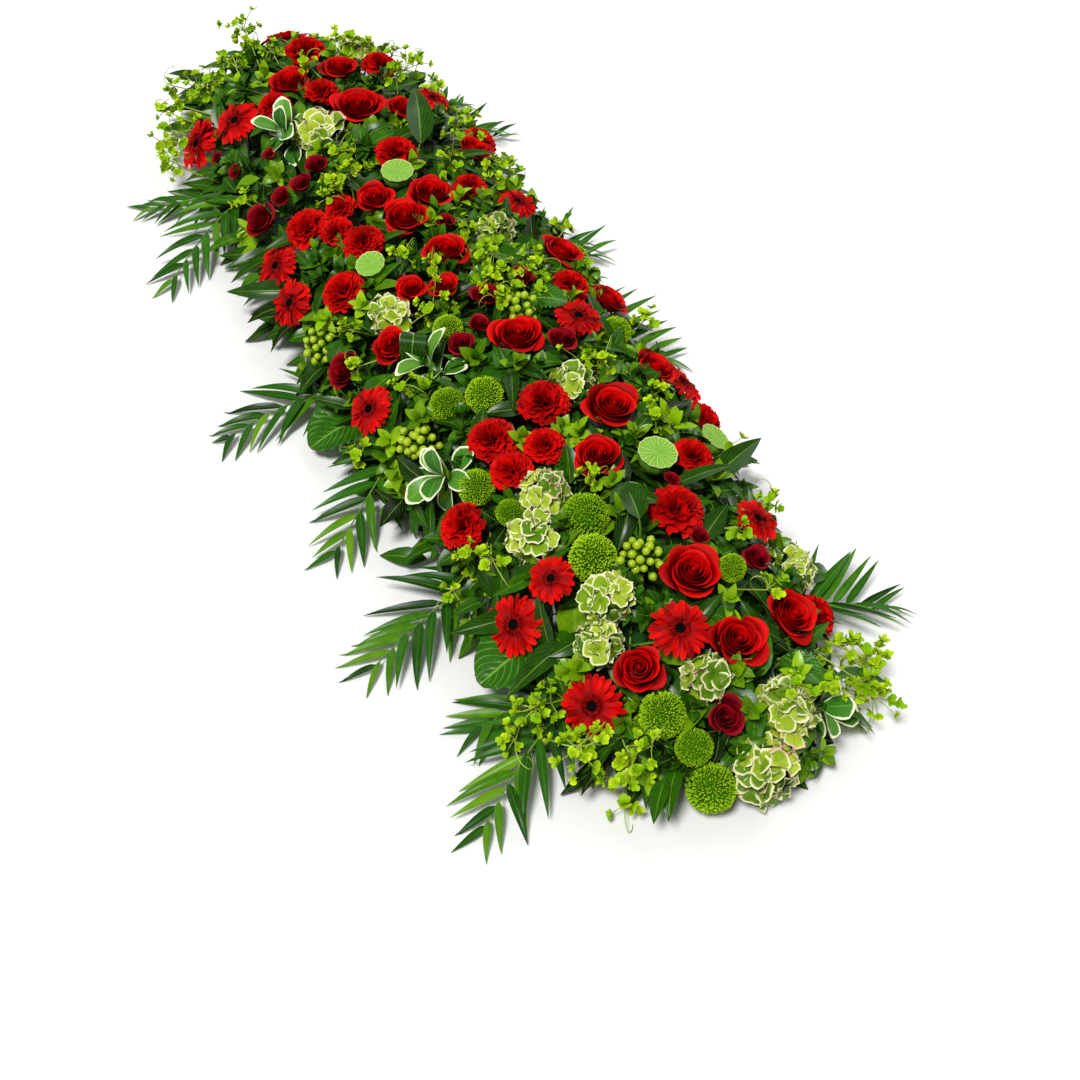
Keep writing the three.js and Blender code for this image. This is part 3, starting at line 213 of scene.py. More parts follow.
# Strap leaves bent into a loop: middle, radius and width in mm, and heading of the front in degrees
ROLLED: dict[str, list[tuple[Triple, float, float, float]]] = {
    "leafy_branch_left_middle": [((106, -150, 174), 17, 38, -30)],
}


def linear(colour: str) -> tuple[float, float, float, float]:
    """Turns an sRGB hex colour to linear light.

    Args:
        colour: Six hex digits after a hash.

    Returns:
        Red, green, blue and full alpha.
    """
    parts = [int(colour[i:i + 2], 16) / 255 for i in (1, 3, 5)]
    light = [p / 12.92 if p <= 0.04045 else ((p + 0.055) / 1.055) ** 2.4 for p in parts]
    return (light[0], light[1], light[2], 1.0)


def per_metre(size_mm: float) -> float:
    """Returns the scale that draws a pattern with marks of this size, in mm, on Object coordinates."""
    return 1 / (size_mm * MM)


# Settings that several nodes share
SMOOTH = {"interpolation_type": "SMOOTHSTEP"}
SCALED_SUM = {"operation": "MULTIPLY_ADD"}
COLOURS = {"data_type": "RGBA"}


def set_inputs(tree: Tree, node: Node, inputs: dict) -> None:
    """Sets and links a node's inputs.

    Args:
        tree: The material's node tree.
        node: The node.
        inputs: For each input's name or number, a value or what it is linked from: a socket, or a node for
            that node's first output.
    """
    for key, value in inputs.items():
        if isinstance(value, Node):
            value = value.outputs[0]
        if isinstance(value, Socket):
            tree.links.new(value, node.inputs[key])
        else:
            node.inputs[key].default_value = value


def add_node(tree: Tree, kind: str, settings: dict | None = None, inputs: dict | None = None) -> Node:
    """Adds a node with its settings and links.

    Args:
        tree: The material's node tree.
        kind: The node's type name.
        settings: Properties of the node.
        inputs: Its inputs, as set_inputs takes them.

    Returns:
        The node.
    """
    node = tree.nodes.new(kind)
    for key, value in (settings or {}).items():
        setattr(node, key, value)
    set_inputs(tree, node, inputs or {})
    return node


def ramp(tree: Tree, factor: Socket | Node, stops: list[tuple[float, str]]) -> Socket:
    """Adds a colour ramp.

    Args:
        tree: The material's node tree.
        factor: What drives the ramp.
        stops: Place and sRGB colour of each stop.

    Returns:
        The ramp's colour.
    """
    node = add_node(tree, "ShaderNodeValToRGB", inputs={"Fac": factor})
    band = node.color_ramp
    while len(band.elements) < len(stops):
        band.elements.new(0.5)
    for element, (place, colour) in zip(band.elements, stops):
        element.position = place
        element.color = linear(colour)
    return node.outputs["Color"]


def new_material(name: str) -> tuple[bpy.types.Material, Tree, Node]:
    """Makes an empty material with a shader and its output.

    Args:
        name: The material's name.

    Returns:
        The material, its node tree and its shader.
    """
    material = bpy.data.materials.new(name)
    material.use_nodes = True
    tree = material.node_tree
    tree.nodes.clear()
    shader = add_node(tree, "ShaderNodeBsdfPrincipled")
    add_node(tree, "ShaderNodeOutputMaterial", inputs={"Surface": shader.outputs[0]})
    return material, tree, shader


@dataclass(frozen=True)
class PetalFinish:
    """A petal: soft and matt, darker where it grows out and brighter at its lip, with fine lines along it.

    The shaded foot, body and lip colours run along the petal. The darker foot is painted shade, where
    petals lie in each other's shade, and the brighter lip is painted light, where light falls. The shade
    colour is mixed in where its tone, its mottle and its lines say.
    """

    name: str
    shaded_foot: str
    body: str
    lip: str
    shade: str
    roughness: float = 0.55
    sheen: float = 0.03
    breadth_mm: float = 46.0
    line_mm: float = 1.0
    streak: float = 0.5
    mottle_mm: float = 11.0
    relief_mm: float = 0.6
    gloss: float = 0.08

    def make(self) -> bpy.types.Material:
        """Returns the material."""
        material, tree, shader = new_material(self.name)
        uv = add_node(tree, "ShaderNodeUVMap", {"uv_map": "UVMap"})
        split = add_node(tree, "ShaderNodeSeparateXYZ", inputs={0: uv})
        # Painted shade and light: the colour runs from the shaded foot, where petals shade each other, to the
        # lit lip
        colour = ramp(tree, split.outputs["Y"], [(0.05, self.shaded_foot), (0.62, self.body), (0.92, self.lip)])
        tone = add_node(tree, "ShaderNodeAttribute", {"attribute_name": "tone"}).outputs["Fac"]
        place = add_node(tree, "ShaderNodeTexCoord").outputs["Object"]
        mottle = add_node(tree, "ShaderNodeTexNoise",
                          inputs={"Vector": place, "Scale": per_metre(self.mottle_mm), "Detail": 3.0})
        stretch = add_node(tree, "ShaderNodeMapping",
                           inputs={"Vector": uv, "Scale": (self.breadth_mm / self.line_mm, 2.5, 1.0)})
        lines = add_node(tree, "ShaderNodeTexNoise", inputs={"Vector": stretch, "Scale": 1.0, "Detail": 2.0})
        shift = add_node(tree, "ShaderNodeMath", SCALED_SUM, {0: mottle, 1: 0.5, 2: tone})
        amount = add_node(tree, "ShaderNodeMath", SCALED_SUM, {0: lines, 1: self.streak, 2: shift})
        # The mottle and the lines lie round half, so half of what they add is taken off again
        usual = 0.25 + 0.5 * self.streak
        level = add_node(tree, "ShaderNodeMapRange",
                         inputs={"Value": amount, "From Min": usual, "From Max": usual + 1})
        mixed = add_node(tree, "ShaderNodeMix", COLOURS, {"Factor": level, 6: colour, 7: linear(self.shade)})
        bump = add_node(tree, "ShaderNodeBump", inputs={"Height": lines, "Strength": 0.35,
                                                       "Distance": self.relief_mm * MM})
        set_inputs(tree, shader, {"Base Color": mixed.outputs[2], "Normal": bump, "Roughness": self.roughness,
                                  "Specular IOR Level": self.gloss, "Sheen Weight": self.sheen,
                                  "Sheen Roughness": 0.4, "Sheen Tint": linear(self.lip)})
        return material


@dataclass(frozen=True)
class LeafFinish:
    """A leaf: waxy, with a pale midrib and side veins; its tone runs from dark to light greens.

    Where it has an edge colour, a band of it starts at the margin, measured from the midrib as a part of the
    whole breadth, and fades in over its softness; here and there the band takes the blush.
    """

    name: str
    tones: tuple[str, str, str]
    vein: str
    roughness: float = 0.26
    edge: str = ""
    length_mm: float = 63.0
    vein_mm: float = 9.0
    margin: float = 0.42
    softness: float = 0.04
    blush: str = ""
    ribbing: float = 0.08
    mottle_mm: float = 17.0
    blush_mm: float = 45.0
    relief_mm: float = 0.5
    gloss: float = 0.18

    def make(self) -> bpy.types.Material:
        """Returns the material."""
        material, tree, shader = new_material(self.name)
        uv = add_node(tree, "ShaderNodeUVMap", {"uv_map": "UVMap"})
        split = add_node(tree, "ShaderNodeSeparateXYZ", inputs={0: uv})
        offset = add_node(tree, "ShaderNodeMath", {"operation": "SUBTRACT"}, {0: split.outputs["X"], 1: 0.5})
        out = add_node(tree, "ShaderNodeMath", {"operation": "ABSOLUTE"}, {0: offset})
        tone = add_node(tree, "ShaderNodeAttribute", {"attribute_name": "tone"}).outputs["Fac"]
        place = add_node(tree, "ShaderNodeTexCoord").outputs["Object"]
        mottle = add_node(tree, "ShaderNodeTexNoise",
                          inputs={"Vector": place, "Scale": per_metre(self.mottle_mm), "Detail": 4.0})
        mixed_tone = add_node(tree, "ShaderNodeMath", SCALED_SUM, {0: mottle, 1: 0.4, 2: -0.2})
        level = add_node(tree, "ShaderNodeMath", {"operation": "ADD", "use_clamp": True},
                         {0: tone, 1: mixed_tone})
        colour = ramp(tree, level, [(0.0, self.tones[0]), (0.5, self.tones[1]), (1.0, self.tones[2])])
        slant = add_node(tree, "ShaderNodeMath", SCALED_SUM, {0: out, 1: -0.9, 2: split.outputs["Y"]})
        wave = add_node(tree, "ShaderNodeMath", {"operation": "MULTIPLY"},
                        {0: slant, 1: 2 * math.pi * self.length_mm / self.vein_mm})
        ripple = add_node(tree, "ShaderNodeMath", {"operation": "SINE"}, {0: wave})
        rib = add_node(tree, "ShaderNodeMapRange", SMOOTH,
                       {"Value": out, "From Min": 0.0, "From Max": 0.035, "To Min": 0.55, "To Max": 0.0})
        side = add_node(tree, "ShaderNodeMapRange", SMOOTH,
                        {"Value": ripple, "From Min": 0.7, "From Max": 1.0, "To Min": 0.0,
                         "To Max": self.ribbing})
        vein = add_node(tree, "ShaderNodeMath", {"operation": "MAXIMUM"}, {0: rib, 1: side})
        veined = add_node(tree, "ShaderNodeMix", COLOURS,
                          {"Factor": vein, 6: colour, 7: linear(self.vein)}).outputs[2]
        if self.edge:
            ahead = add_node(tree, "ShaderNodeMath", {"operation": "SUBTRACT"},
                             {0: split.outputs["Y"], 1: 0.5})
            widest = add_node(tree, "ShaderNodeMath", {"operation": "MAXIMUM"}, {0: out, 1: ahead})
            ragged = add_node(tree, "ShaderNodeMath", SCALED_SUM, {0: mottle, 1: 0.12, 2: widest})
            start = self.margin + 0.04
            band = add_node(tree, "ShaderNodeMapRange", SMOOTH,
                            {"Value": ragged, "From Min": start, "From Max": start + self.softness})
            patch = add_node(tree, "ShaderNodeTexNoise",
                             inputs={"Vector": place, "Scale": per_metre(self.blush_mm)})
            rim = ramp(tree, patch, [(0.58, self.edge), (0.70, self.blush or self.edge)])
            veined = add_node(tree, "ShaderNodeMix", COLOURS, {"Factor": band, 6: veined, 7: rim}).outputs[2]
        bump = add_node(tree, "ShaderNodeBump", {"invert": True},
                        {"Height": vein, "Strength": 0.4, "Distance": self.relief_mm * MM})
        set_inputs(tree, shader, {"Base Color": veined, "Normal": bump, "Roughness": self.roughness,
                                  "Specular IOR Level": self.gloss})
        return material


@dataclass(frozen=True)
class LidFinish:
    """A seed pod's lid: green, with pale rays from its middle to a pale rim, and a few dark pores between.

    The pores are drawn 2.4 mm across, coarser than the real ones, so that they show in a picture of it all.
    """

    name: str
    pore: str
    body: str
    ray: str
    rim: str
    rays: int = 14
    pore_mm: float = 2.4
    roughness: float = 0.55

    def make(self) -> bpy.types.Material:
        """Returns the material."""
        material, tree, shader = new_material(self.name)
        uv = add_node(tree, "ShaderNodeUVMap", {"uv_map": "UVMap"})
        split = add_node(tree, "ShaderNodeSeparateXYZ", inputs={0: uv})
        place = add_node(tree, "ShaderNodeTexCoord").outputs["Object"]
        pores = add_node(tree, "ShaderNodeTexNoise",
                         inputs={"Vector": place, "Scale": per_metre(self.pore_mm), "Detail": 2.0})
        body = ramp(tree, pores, [(0.34, self.pore), (0.44, self.body)])
        waves = []
        for rays in (self.rays, 2 * self.rays):
            angle = add_node(tree, "ShaderNodeMath", {"operation": "MULTIPLY"},
                             {0: split.outputs["X"], 1: rays * math.tau})
            waves.append(add_node(tree, "ShaderNodeMath", {"operation": "COSINE"}, {0: angle}))
        outer = add_node(tree, "ShaderNodeMapRange", SMOOTH,
                         {"Value": split.outputs["Y"], "From Min": 0.50, "From Max": 0.62, "To Min": 1.0,
                          "To Max": 0.0})
        between = add_node(tree, "ShaderNodeMath", {"operation": "MULTIPLY"}, {0: waves[1], 1: outer})
        wave = add_node(tree, "ShaderNodeMath", {"operation": "MAXIMUM"}, {0: waves[0], 1: between})
        ray = add_node(tree, "ShaderNodeMapRange", SMOOTH,
                       {"Value": wave, "From Min": 0.75, "From Max": 0.98, "To Max": 0.85})
        rayed = add_node(tree, "ShaderNodeMix", COLOURS,
                         {"Factor": ray, 6: body, 7: linear(self.ray)}).outputs[2]
        rim = add_node(tree, "ShaderNodeMapRange", SMOOTH,
                       {"Value": split.outputs["Y"], "From Min": 0.14, "From Max": 0.20, "To Min": 0.8,
                        "To Max": 0.0})
        whole = add_node(tree, "ShaderNodeMix", COLOURS,
                         {"Factor": rim, 6: rayed, 7: linear(self.rim)}).outputs[2]
        set_inputs(tree, shader, {"Base Color": whole, "Roughness": self.roughness})
        return material


@dataclass(frozen=True)
class FleshFinish:
    """A stem, berry, foam or plastic: a body colour that shifts to another here and there, and a fine grain.

    Where it goes by length, the other colour comes in towards the far end of each body.
    """

    name: str
    colour: str
    other: str
    roughness: float
    grain_mm: float
    height_mm: float
    strength: float = 0.5
    by_length: bool = False
    gloss: float = 0.5
    shift_mm: float = 40.0

    def make(self) -> bpy.types.Material:
        """Returns the material."""
        material, tree, shader = new_material(self.name)
        place = add_node(tree, "ShaderNodeTexCoord").outputs["Object"]
        broad = add_node(tree, "ShaderNodeTexNoise",
                         inputs={"Vector": place, "Scale": per_metre(self.shift_mm), "Detail": 3.0})
        if self.by_length:
            uv = add_node(tree, "ShaderNodeUVMap", {"uv_map": "UVMap"})
            split = add_node(tree, "ShaderNodeSeparateXYZ", inputs={0: uv})
            broad = add_node(tree, "ShaderNodeMath", {"operation": "MULTIPLY_ADD", "use_clamp": True},
                             {0: broad, 1: 0.4, 2: split.outputs["Y"]})
        colour = ramp(tree, broad, [(0.3, self.colour), (0.75, self.other)])
        fine = add_node(tree, "ShaderNodeTexNoise",
                        inputs={"Vector": place, "Scale": per_metre(self.grain_mm), "Detail": 2.0})
        bump = add_node(tree, "ShaderNodeBump", inputs={"Height": fine, "Strength": self.strength,
                                                       "Distance": self.height_mm * MM})
        set_inputs(tree, shader, {"Base Color": colour, "Normal": bump, "Roughness": self.roughness,
                                  "Specular IOR Level": self.gloss})
        return material


FINISHES: dict[str, PetalFinish | LeafFinish | LidFinish | FleshFinish] = {
    # Rose petal, a velvet of tiny cones: matt deep red; painted shade makes it nearly black where petals
    # fold in, and painted light makes it brighter at lips
    "rose": PetalFinish("rose_petal_red", "#200001", "#980002", "#E40603", "#640002"),
    # Spray rose petal, thinner: a wine red that stays dark to its lip
    "small_rose": PetalFinish("spray_rose_dark_red", "#2A0003", "#740210", "#A80A1C", "#4A000C"),
    # Carnation petal, dry and papery: the most even red, with no shine
    "carnation": PetalFinish("carnation_petal_red", "#420001", "#AE0202", "#E40C05", "#780102", 0.7, 0.04),
    # Gerbera ray, ribbed along its length; ribs are drawn 1.6 mm apart, wider than real, so that they show
    "gerbera": PetalFinish("gerbera_ray_red", "#540001", "#C20302", "#E60A05", "#7C0202", 0.6, 0.0,
                           breadth_mm=8.0, line_mm=1.6, streak=1.1),
    # Gerbera disc, packed florets: nearly black, with red tips that catch the light
    "gerbera_disc": PetalFinish("gerbera_disc_dark", "#060101", "#160302", "#A0180C", "#050101", 0.8, 0.0),
    # Fuzzy bracts of the green balls: bright at their tips over darker feet, with no shine; the darker
    # feet are painted shade, where the bracts crowd together
    "ball": PetalFinish("green_ball_fuzz", "#386E02", "#84B808", "#C8E82A", "#4C8404", 0.8, 0.03),
    # Core of the green balls, shaded by the bracts: dark and dull
    "ball_core": FleshFinish("green_ball_core", "#264E00", "#427406", 0.95, 1.5, 0.1, gloss=0.06),
    # Hydrangea sepal, leathery and half faded: yellow-green with a cream edge that blushes pink in places
    "hydrangea": LeafFinish("hydrangea_sepal_green", ("#3A6604", "#7C9E10", "#B4C634"), "#64860E", 0.5,
                            "#E9E8B2", 20.0, 4.0, margin=0.375, softness=0.11, blush="#E6B8A6"),
    # Seed pod wall, smooth and waxy: fresh green with faint stripes from the stalk up
    "pod": PetalFinish("seed_pod_green", "#3E6E16", "#6CA42A", "#98C850", "#4C8020", 0.5, 0.05,
                       breadth_mm=150.0, line_mm=7.5),
    # Seed pod lid, spongy: light green, pale on its rays and rim
    "lid": LidFinish("seed_pod_lid", "#5A9626", "#76AA26", "#A8CE56", "#CFE08C"),
    # Bracts on the twigs, thin and new: the yellowest green of the spray
    "twig": PetalFinish("twig_bract_yellow_green", "#7EA406", "#B0D00C", "#CEE22C", "#7CAE0C", 0.6, 0.03,
                        breadth_mm=9.0, line_mm=0.9),
    # Waxy leaf: dark to fresh greens from leaf to leaf, a pale midrib and soft highlights; its near black
    # end is a painted shade for the leaves deep under the heads
    "leaf": LeafFinish("leaf_green", ("#041600", "#2A5E04", "#90BA0C"), "#94BC3C"),
    # Round leaf with strong side veins, which stand out pale from midrib to margin
    "ribbed_leaf": LeafFinish("leaf_ribbed_green", ("#061E02", "#2E6A0A", "#74A818"), "#98C450", 0.27,
                              length_mm=99.0, vein_mm=11.0, ribbing=0.26),
    # Variegated leaf, leathery: mid green with a clean cream edge
    "edged_leaf": LeafFinish("leaf_cream_edged", ("#1C5610", "#3C7C1C", "#6CA432"), "#8CB858", 0.36,
                             "#F1F0CC", margin=0.43),
    # Palm leaflet, narrow and stiff: deep green, with a midrib and no side veins
    "palm": LeafFinish("palm_leaflet_green", ("#0A2E02", "#2C6606", "#70A010"), "#72A02C", 0.33,
                       vein_mm=math.inf),
    # Calyx and stalk under a head, smooth: mid green
    "calyx": FleshFinish("calyx_green", "#2E6A1C", "#5E942E", 0.6, 1.5, 0.1),
    # Cut stem, fibrous: green that pales here and there
    "stem": FleshFinish("stem_green", "#3E701C", "#7CA83A", 0.55, 2.0, 0.15),
    # Young twig: thin and yellow-green, like its bracts
    "twig_stem": FleshFinish("twig_stem_yellow_green", "#7E981A", "#B6C84C", 0.5, 2.0, 0.1),
    # Berry skin, taut and glossy: darker at the stalk, with a small bright highlight
    "berry": FleshFinish("berry_green", "#567A06", "#A4C01C", 0.25, 4.0, 0.05, 0.3, True),
    # Flower foam soaked with water, fine open pores: dark green and quite dull
    "foam": FleshFinish("flower_foam_wet", "#16390F", "#275A1C", 0.95, 0.7, 0.4, 0.8, gloss=0.2),
    # Moulded plastic with a fine matt grain: even dark green with a soft shine
    "tray": FleshFinish("moulded_plastic_green", "#12351C", "#1A4426", 0.4, 1.2, 0.03, 0.3),
}
# The material of each finish, which main makes
MATERIALS: dict[str, bpy.types.Material] = {}


class Growth:
    """Gathers closed sheets, tubes and turned bodies into one mesh, in mm.

    Edges are smooth up to the crease, in degrees.
    """

    crease = 52

    def __init__(self) -> None:
        """Starts an empty mesh."""
        self.points: list[Array] = []
        self.maps: list[Array] = []
        self.tones: list[Array] = []
        self.faces: list[tuple[Array, int]] = []
        self.size = 0

    def _keep(self, points: Array, maps: Array, tones: Array, faces: list[Array], slot: int) -> None:
        """Keeps a batch of like bodies.

        Args:
            points: Points of each body, as (count, points, 3).
            maps: Map places of one body's points, as (points, 2).
            tones: One tone for each body.
            faces: Faces of one body, by their number of corners.
            slot: The faces' material slot.
        """
        count, each, _ = points.shape
        starts = self.size + each * np.arange(count)
        for corners in faces:
            self.faces.append(((corners[None] + starts[:, None, None]).reshape(-1, corners.shape[1]), slot))
        self.points.append(points.reshape(-1, 3))
        self.maps.append(np.tile(maps, (count, 1)))
        self.tones.append(np.repeat(tones, each))
        self.size += count * each

    def sheets(self, grids: Array, thickness: float, tones: Array, slot: int = 0) -> None:
        """Adds closed thin sheets: each is its grid and a copy with the same rim, set back along the normal.

        Args:
            grids: Points of each sheet, as (count, across, along, 3).
            thickness: The sheets' thickness, which thins to nothing at the rim.
            tones: One tone for each sheet.
            slot: The material slot.
        """
        count, across, along, _ = grids.shape
        normal = np.cross(np.gradient(grids, axis=1), np.gradient(grids, axis=2))
        normal /= np.linalg.norm(normal, axis=-1, keepdims=True) + 1e-9
        under = (grids - normal * thickness)[:, 1:-1, 1:-1].reshape(count, -1, 3)
        u, v = np.meshgrid(np.linspace(0, 1, across), np.linspace(0, 1, along), indexing="ij")
        half = across * along
        index = np.arange(half).reshape(across, along)
        below = index.copy()
        below[1:-1, 1:-1] = half + np.arange(under.shape[1]).reshape(across - 2, along - 2)
        top, bottom = (np.stack([i[:-1, :-1], i[1:, :-1], i[1:, 1:], i[:-1, 1:]], -1).reshape(-1, 4)
                       for i in (index, below))
        maps = np.stack([u, v], -1)
        maps = np.concatenate([maps.reshape(-1, 2), maps[1:-1, 1:-1].reshape(-1, 2)])
        points = np.concatenate([grids.reshape(count, half, 3), under], 1)
        self._keep(points, maps, tones, [np.concatenate([top, bottom[:, ::-1]])], slot)

    def turned(self, grids: Array, tones: Array, slot: int = 0) -> None:
        """Adds closed turned bodies: each grid closes round on itself, and a pole closes each end.

        Args:
            grids: Points of each body, as (count, round, rows, 3), anticlockwise about the way the rows go.
            tones: One tone for each body.
            slot: The material slot.
        """
        count, sides, rows, _ = grids.shape
        poles = grids.mean(axis=1)[:, [0, -1]]
        half = sides * rows
        index = np.arange(half).reshape(sides, rows)
        after = np.roll(index, -1, axis=0)
        quads = np.stack([index[:, :-1], after[:, :-1], after[:, 1:], index[:, 1:]], -1).reshape(-1, 4)
        ends = np.concatenate([
            np.stack([after[:, 0], index[:, 0], np.full(sides, half)], -1),
            np.stack([index[:, -1], after[:, -1], np.full(sides, half + 1)], -1),
        ])
        u, v = np.meshgrid(np.arange(sides) / sides, np.linspace(0, 1, rows), indexing="ij")
        maps = np.concatenate([np.stack([u.ravel(), v.ravel()], -1), [[0.5, 0.0], [0.5, 1.0]]])
        points = np.concatenate([grids.reshape(count, half, 3), poles], 1)
        self._keep(points, maps, tones, [quads, ends], slot)

    def tubes(self, paths: Array, radii: Array, tones: Array, slot: int = 0, sides: int = 6) -> None:
        """Adds tubes: a ring of the given radius is carried square to each path.

        Args:
            paths: Points of each path, as (count, rows, 3).
            radii: Radius at each point, as (rows,) or (count, rows).
            tones: One tone for each tube.
            slot: The material slot.
            sides: Corners of the ring.
        """
        along = np.gradient(paths, axis=1)
        along /= np.linalg.norm(along, axis=-1, keepdims=True) + 1e-9
        chord = np.abs(paths[:, -1] - paths[:, 0])
        helper = np.eye(3)[chord.argmin(axis=1)][:, None]
        side = np.cross(helper, along)
        side /= np.linalg.norm(side, axis=-1, keepdims=True) + 1e-9
        third = np.cross(along, side)
        turn = even_turns(sides)
        reach = np.broadcast_to(radii, paths.shape[:2])[:, None, :, None]
        turn = turn[None, :, None, None]
        ring = np.cos(turn) * side[:, None] + np.sin(turn) * third[:, None]
        self.turned(paths[:, None] + reach * ring, tones, slot)

    def stem(self, path: Array, thick: float, thin: float, tone: float = 0.4, sides: int = 6) -> None:
        """Adds one tube in the second slot, the stems', which narrows evenly from thick to thin."""
        self.tubes(path[None], np.linspace(thick, thin, len(path)), np.array([tone]), 1, sides)

    def spikes(self, roots: Array, tips: Array, radius: float, tones: Array, slot: int = 0) -> None:
        """Adds spikes: each is a triangle round its root, joined to its tip.

        Args:
            roots: Foot of each spike, as (count, 3).
            tips: Tip of each spike.
            radius: Radius of the triangles.
            tones: One tone for each spike.
            slot: The material slot.
        """
        ring = triangles(roots, tips - roots, radius)
        maps = np.array([[0.0, 0.0], [0.33, 0.0], [0.66, 0.0], [0.5, 1.0]])
        faces = np.array([[0, 2, 1], [0, 1, 3], [1, 2, 3], [2, 0, 3]])
        self._keep(np.stack([*ring, tips], 1), maps, tones, [faces], slot)

    def grains(self, roots: Array, tips: Array, radius: float, tones: Array, slot: int = 0) -> None:
        """Adds blunt grains: each widens from its root to a triangle near its tip, then closes.

        Args:
            roots: Foot of each grain, as (count, 3).
            tips: Tip of each grain.
            radius: Radius of the triangles.
            tones: One tone for each grain.
            slot: The material slot.
        """
        ring = triangles(roots + 0.8 * (tips - roots), tips - roots, radius)
        maps = np.array([[0.5, 0.0], [0.0, 0.75], [0.33, 0.75], [0.66, 0.75], [0.5, 1.0]])
        faces = np.array([[0, 2, 1], [0, 3, 2], [0, 1, 3], [4, 1, 2], [4, 2, 3], [4, 3, 1]])
        self._keep(np.stack([roots, *ring, tips], 1), maps, tones, [faces], slot)

    def piece(self, name: str, finishes: list[str], slot: str, nodes: list[str]) -> bpy.types.Object:
        """Makes the object, which rides on the frame's body and replaces its nodes.

        Args:
            name: The object's name.
            finishes: Its finishes, one for each material slot.
            slot: The record's material slot, which is not used.
            nodes: The solids that it stands for.

        Returns:
            The object.
        """
        points = np.concatenate(self.points) * MM
        corners = np.concatenate([faces.ravel() for faces, _ in self.faces]).astype(np.int32)
        sizes = np.concatenate([np.full(len(faces), faces.shape[1]) for faces, _ in self.faces])
        slots = np.concatenate([np.full(len(faces), number) for faces, number in self.faces])
        mesh = bpy.data.meshes.new(name)
        mesh.vertices.add(len(points))
        mesh.vertices.foreach_set("co", points.astype(np.float32).ravel())
        mesh.loops.add(len(corners))
        mesh.loops.foreach_set("vertex_index", corners)
        mesh.polygons.add(len(sizes))
        mesh.polygons.foreach_set("loop_start", np.concatenate([[0], np.cumsum(sizes)[:-1]]).astype(np.int32))
        mesh.polygons.foreach_set("material_index", slots.astype(np.int32))
        mesh.polygons.foreach_set("use_smooth", np.ones(len(sizes), bool))
        layer = mesh.uv_layers.new(name="UVMap")
        layer.data.foreach_set("uv", np.concatenate(self.maps)[corners].astype(np.float32).ravel())
        tone = mesh.attributes.new("tone", "FLOAT", "POINT")
        tone.data.foreach_set("value", np.concatenate(self.tones).astype(np.float32))
        for key in finishes:
            mesh.materials.append(MATERIALS[key])
        mesh.update(calc_edges=True)
        mesh.set_sharp_from_angle(angle=math.radians(self.crease))
        piece = bpy.data.objects.new(name, mesh)
        bpy.context.scene.collection.objects.link(piece)
        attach(piece, "root")
        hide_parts(*nodes)
        LOG.info("%s: %d triangles", name, int((sizes - 2).sum()))
        return piece


def unit(vectors: Array) -> Array:
    """Returns the vectors at length one."""
    return vectors / (np.linalg.norm(vectors, axis=-1, keepdims=True) + 1e-9)


def triangles(middles: Array, along: Array, radius: float) -> list[Array]:
    """Works out a small triangle round each middle, square to the way along.

    Args:
        middles: Middles of the triangles.
        along: The way that each is square to.
        radius: Distance of the corners from the middle.

    Returns:
        The three corners, each as (count, 3).
    """
    along = unit(along)
    side = unit(np.cross(along, np.roll(along, 1, axis=-1) * [1, -1, 1] + [0.1, 0.2, 0.3]))
    third = np.cross(along, side)
    return [middles + radius * (math.cos(a) * side + math.sin(a) * third) for a in THIRDS]


def sheet_grid(across: int, along: int) -> tuple[Array, Array]:
    """Returns the parameters of a sheet: u from -1 to 1 across it and v from 0 to 1 along it."""
    return np.linspace(-1, 1, across)[None, :, None], np.linspace(0, 1, along)[None, None, :]


def even_turns(count: int) -> Array:
    """Returns even turns of a full circle."""
    return 2 * np.pi * np.arange(count) / count


def lift(points: Array, lowest: float) -> None:
    """Raises what lies under a lowest height to it, in place."""
    points[..., 2] = np.maximum(points[..., 2], lowest)


def tones_about(rng: Chance, middle: float, spread: float, count: int) -> Array:
    """Returns tones from 0 to 1, drawn about a middle."""
    return np.clip(rng.normal(middle, spread, count), 0, 1)


def round_axis(turn: Array, reach: Array, height: Array, across: Array | float = 0.0) -> Array:
    """Works out points round the axis: x and y from a reach along each turn and a step across it.

    Args:
        turn: Turns about the axis.
        reach: Distance along the turn.
        height: Height of each point.
        across: Distance square to the turn.

    Returns:
        Points x, y, z, in the shape that the others broadcast to.
    """
    x = reach * np.cos(turn) - across * np.sin(turn)
    y = reach * np.sin(turn) + across * np.cos(turn)
    return np.stack(np.broadcast_arrays(x, y, height), -1)


def on_mound(xy: Array) -> Array:
    """Returns the mound's points over places x, y: z = height * sqrt(1 - |x/length|^4 - |y/width|^2.2)."""
    room = 1 - np.abs(xy[..., 0] / MOUND_LENGTH) ** END_POWER - np.abs(xy[..., 1] / MOUND_WIDTH) ** SIDE_POWER
    return np.concatenate([xy, (MOUND_HEIGHT * np.sqrt(np.maximum(room, 0)))[..., None]], -1)


def mound_edge(x: Array, rim: float, least: float) -> Array:
    """Works out the mound's edge: y = half width * (rim - |x/length|^4)^(1/2.2).

    Args:
        x: Places along the spray.
        rim: What the mound's sum comes to there.
        least: What the bracket comes to at least.

    Returns:
        The y of each, on the right.
    """
    return MOUND_WIDTH * np.maximum(rim - np.abs(x / MOUND_LENGTH) ** END_POWER, least) ** (1 / SIDE_POWER)


def mound_facing(xy: Array) -> Array:
    """Works out the way heads face: the mound's normal, from its sum's slopes, plus the lean.

    Args:
        xy: Places x, y.

    Returns:
        Unit vectors.
    """
    x, y = xy[..., 0], xy[..., 1]
    along = np.sign(x) * END_POWER * np.abs(x / MOUND_LENGTH) ** (END_POWER - 1) / MOUND_LENGTH
    across = np.sign(y) * SIDE_POWER * np.abs(y / MOUND_WIDTH) ** (SIDE_POWER - 1) / MOUND_WIDTH
    rise = 2 * on_mound(xy)[..., 2] / MOUND_HEIGHT ** 2
    return unit(unit(np.stack([along, across, rise], -1)) + LEAN)


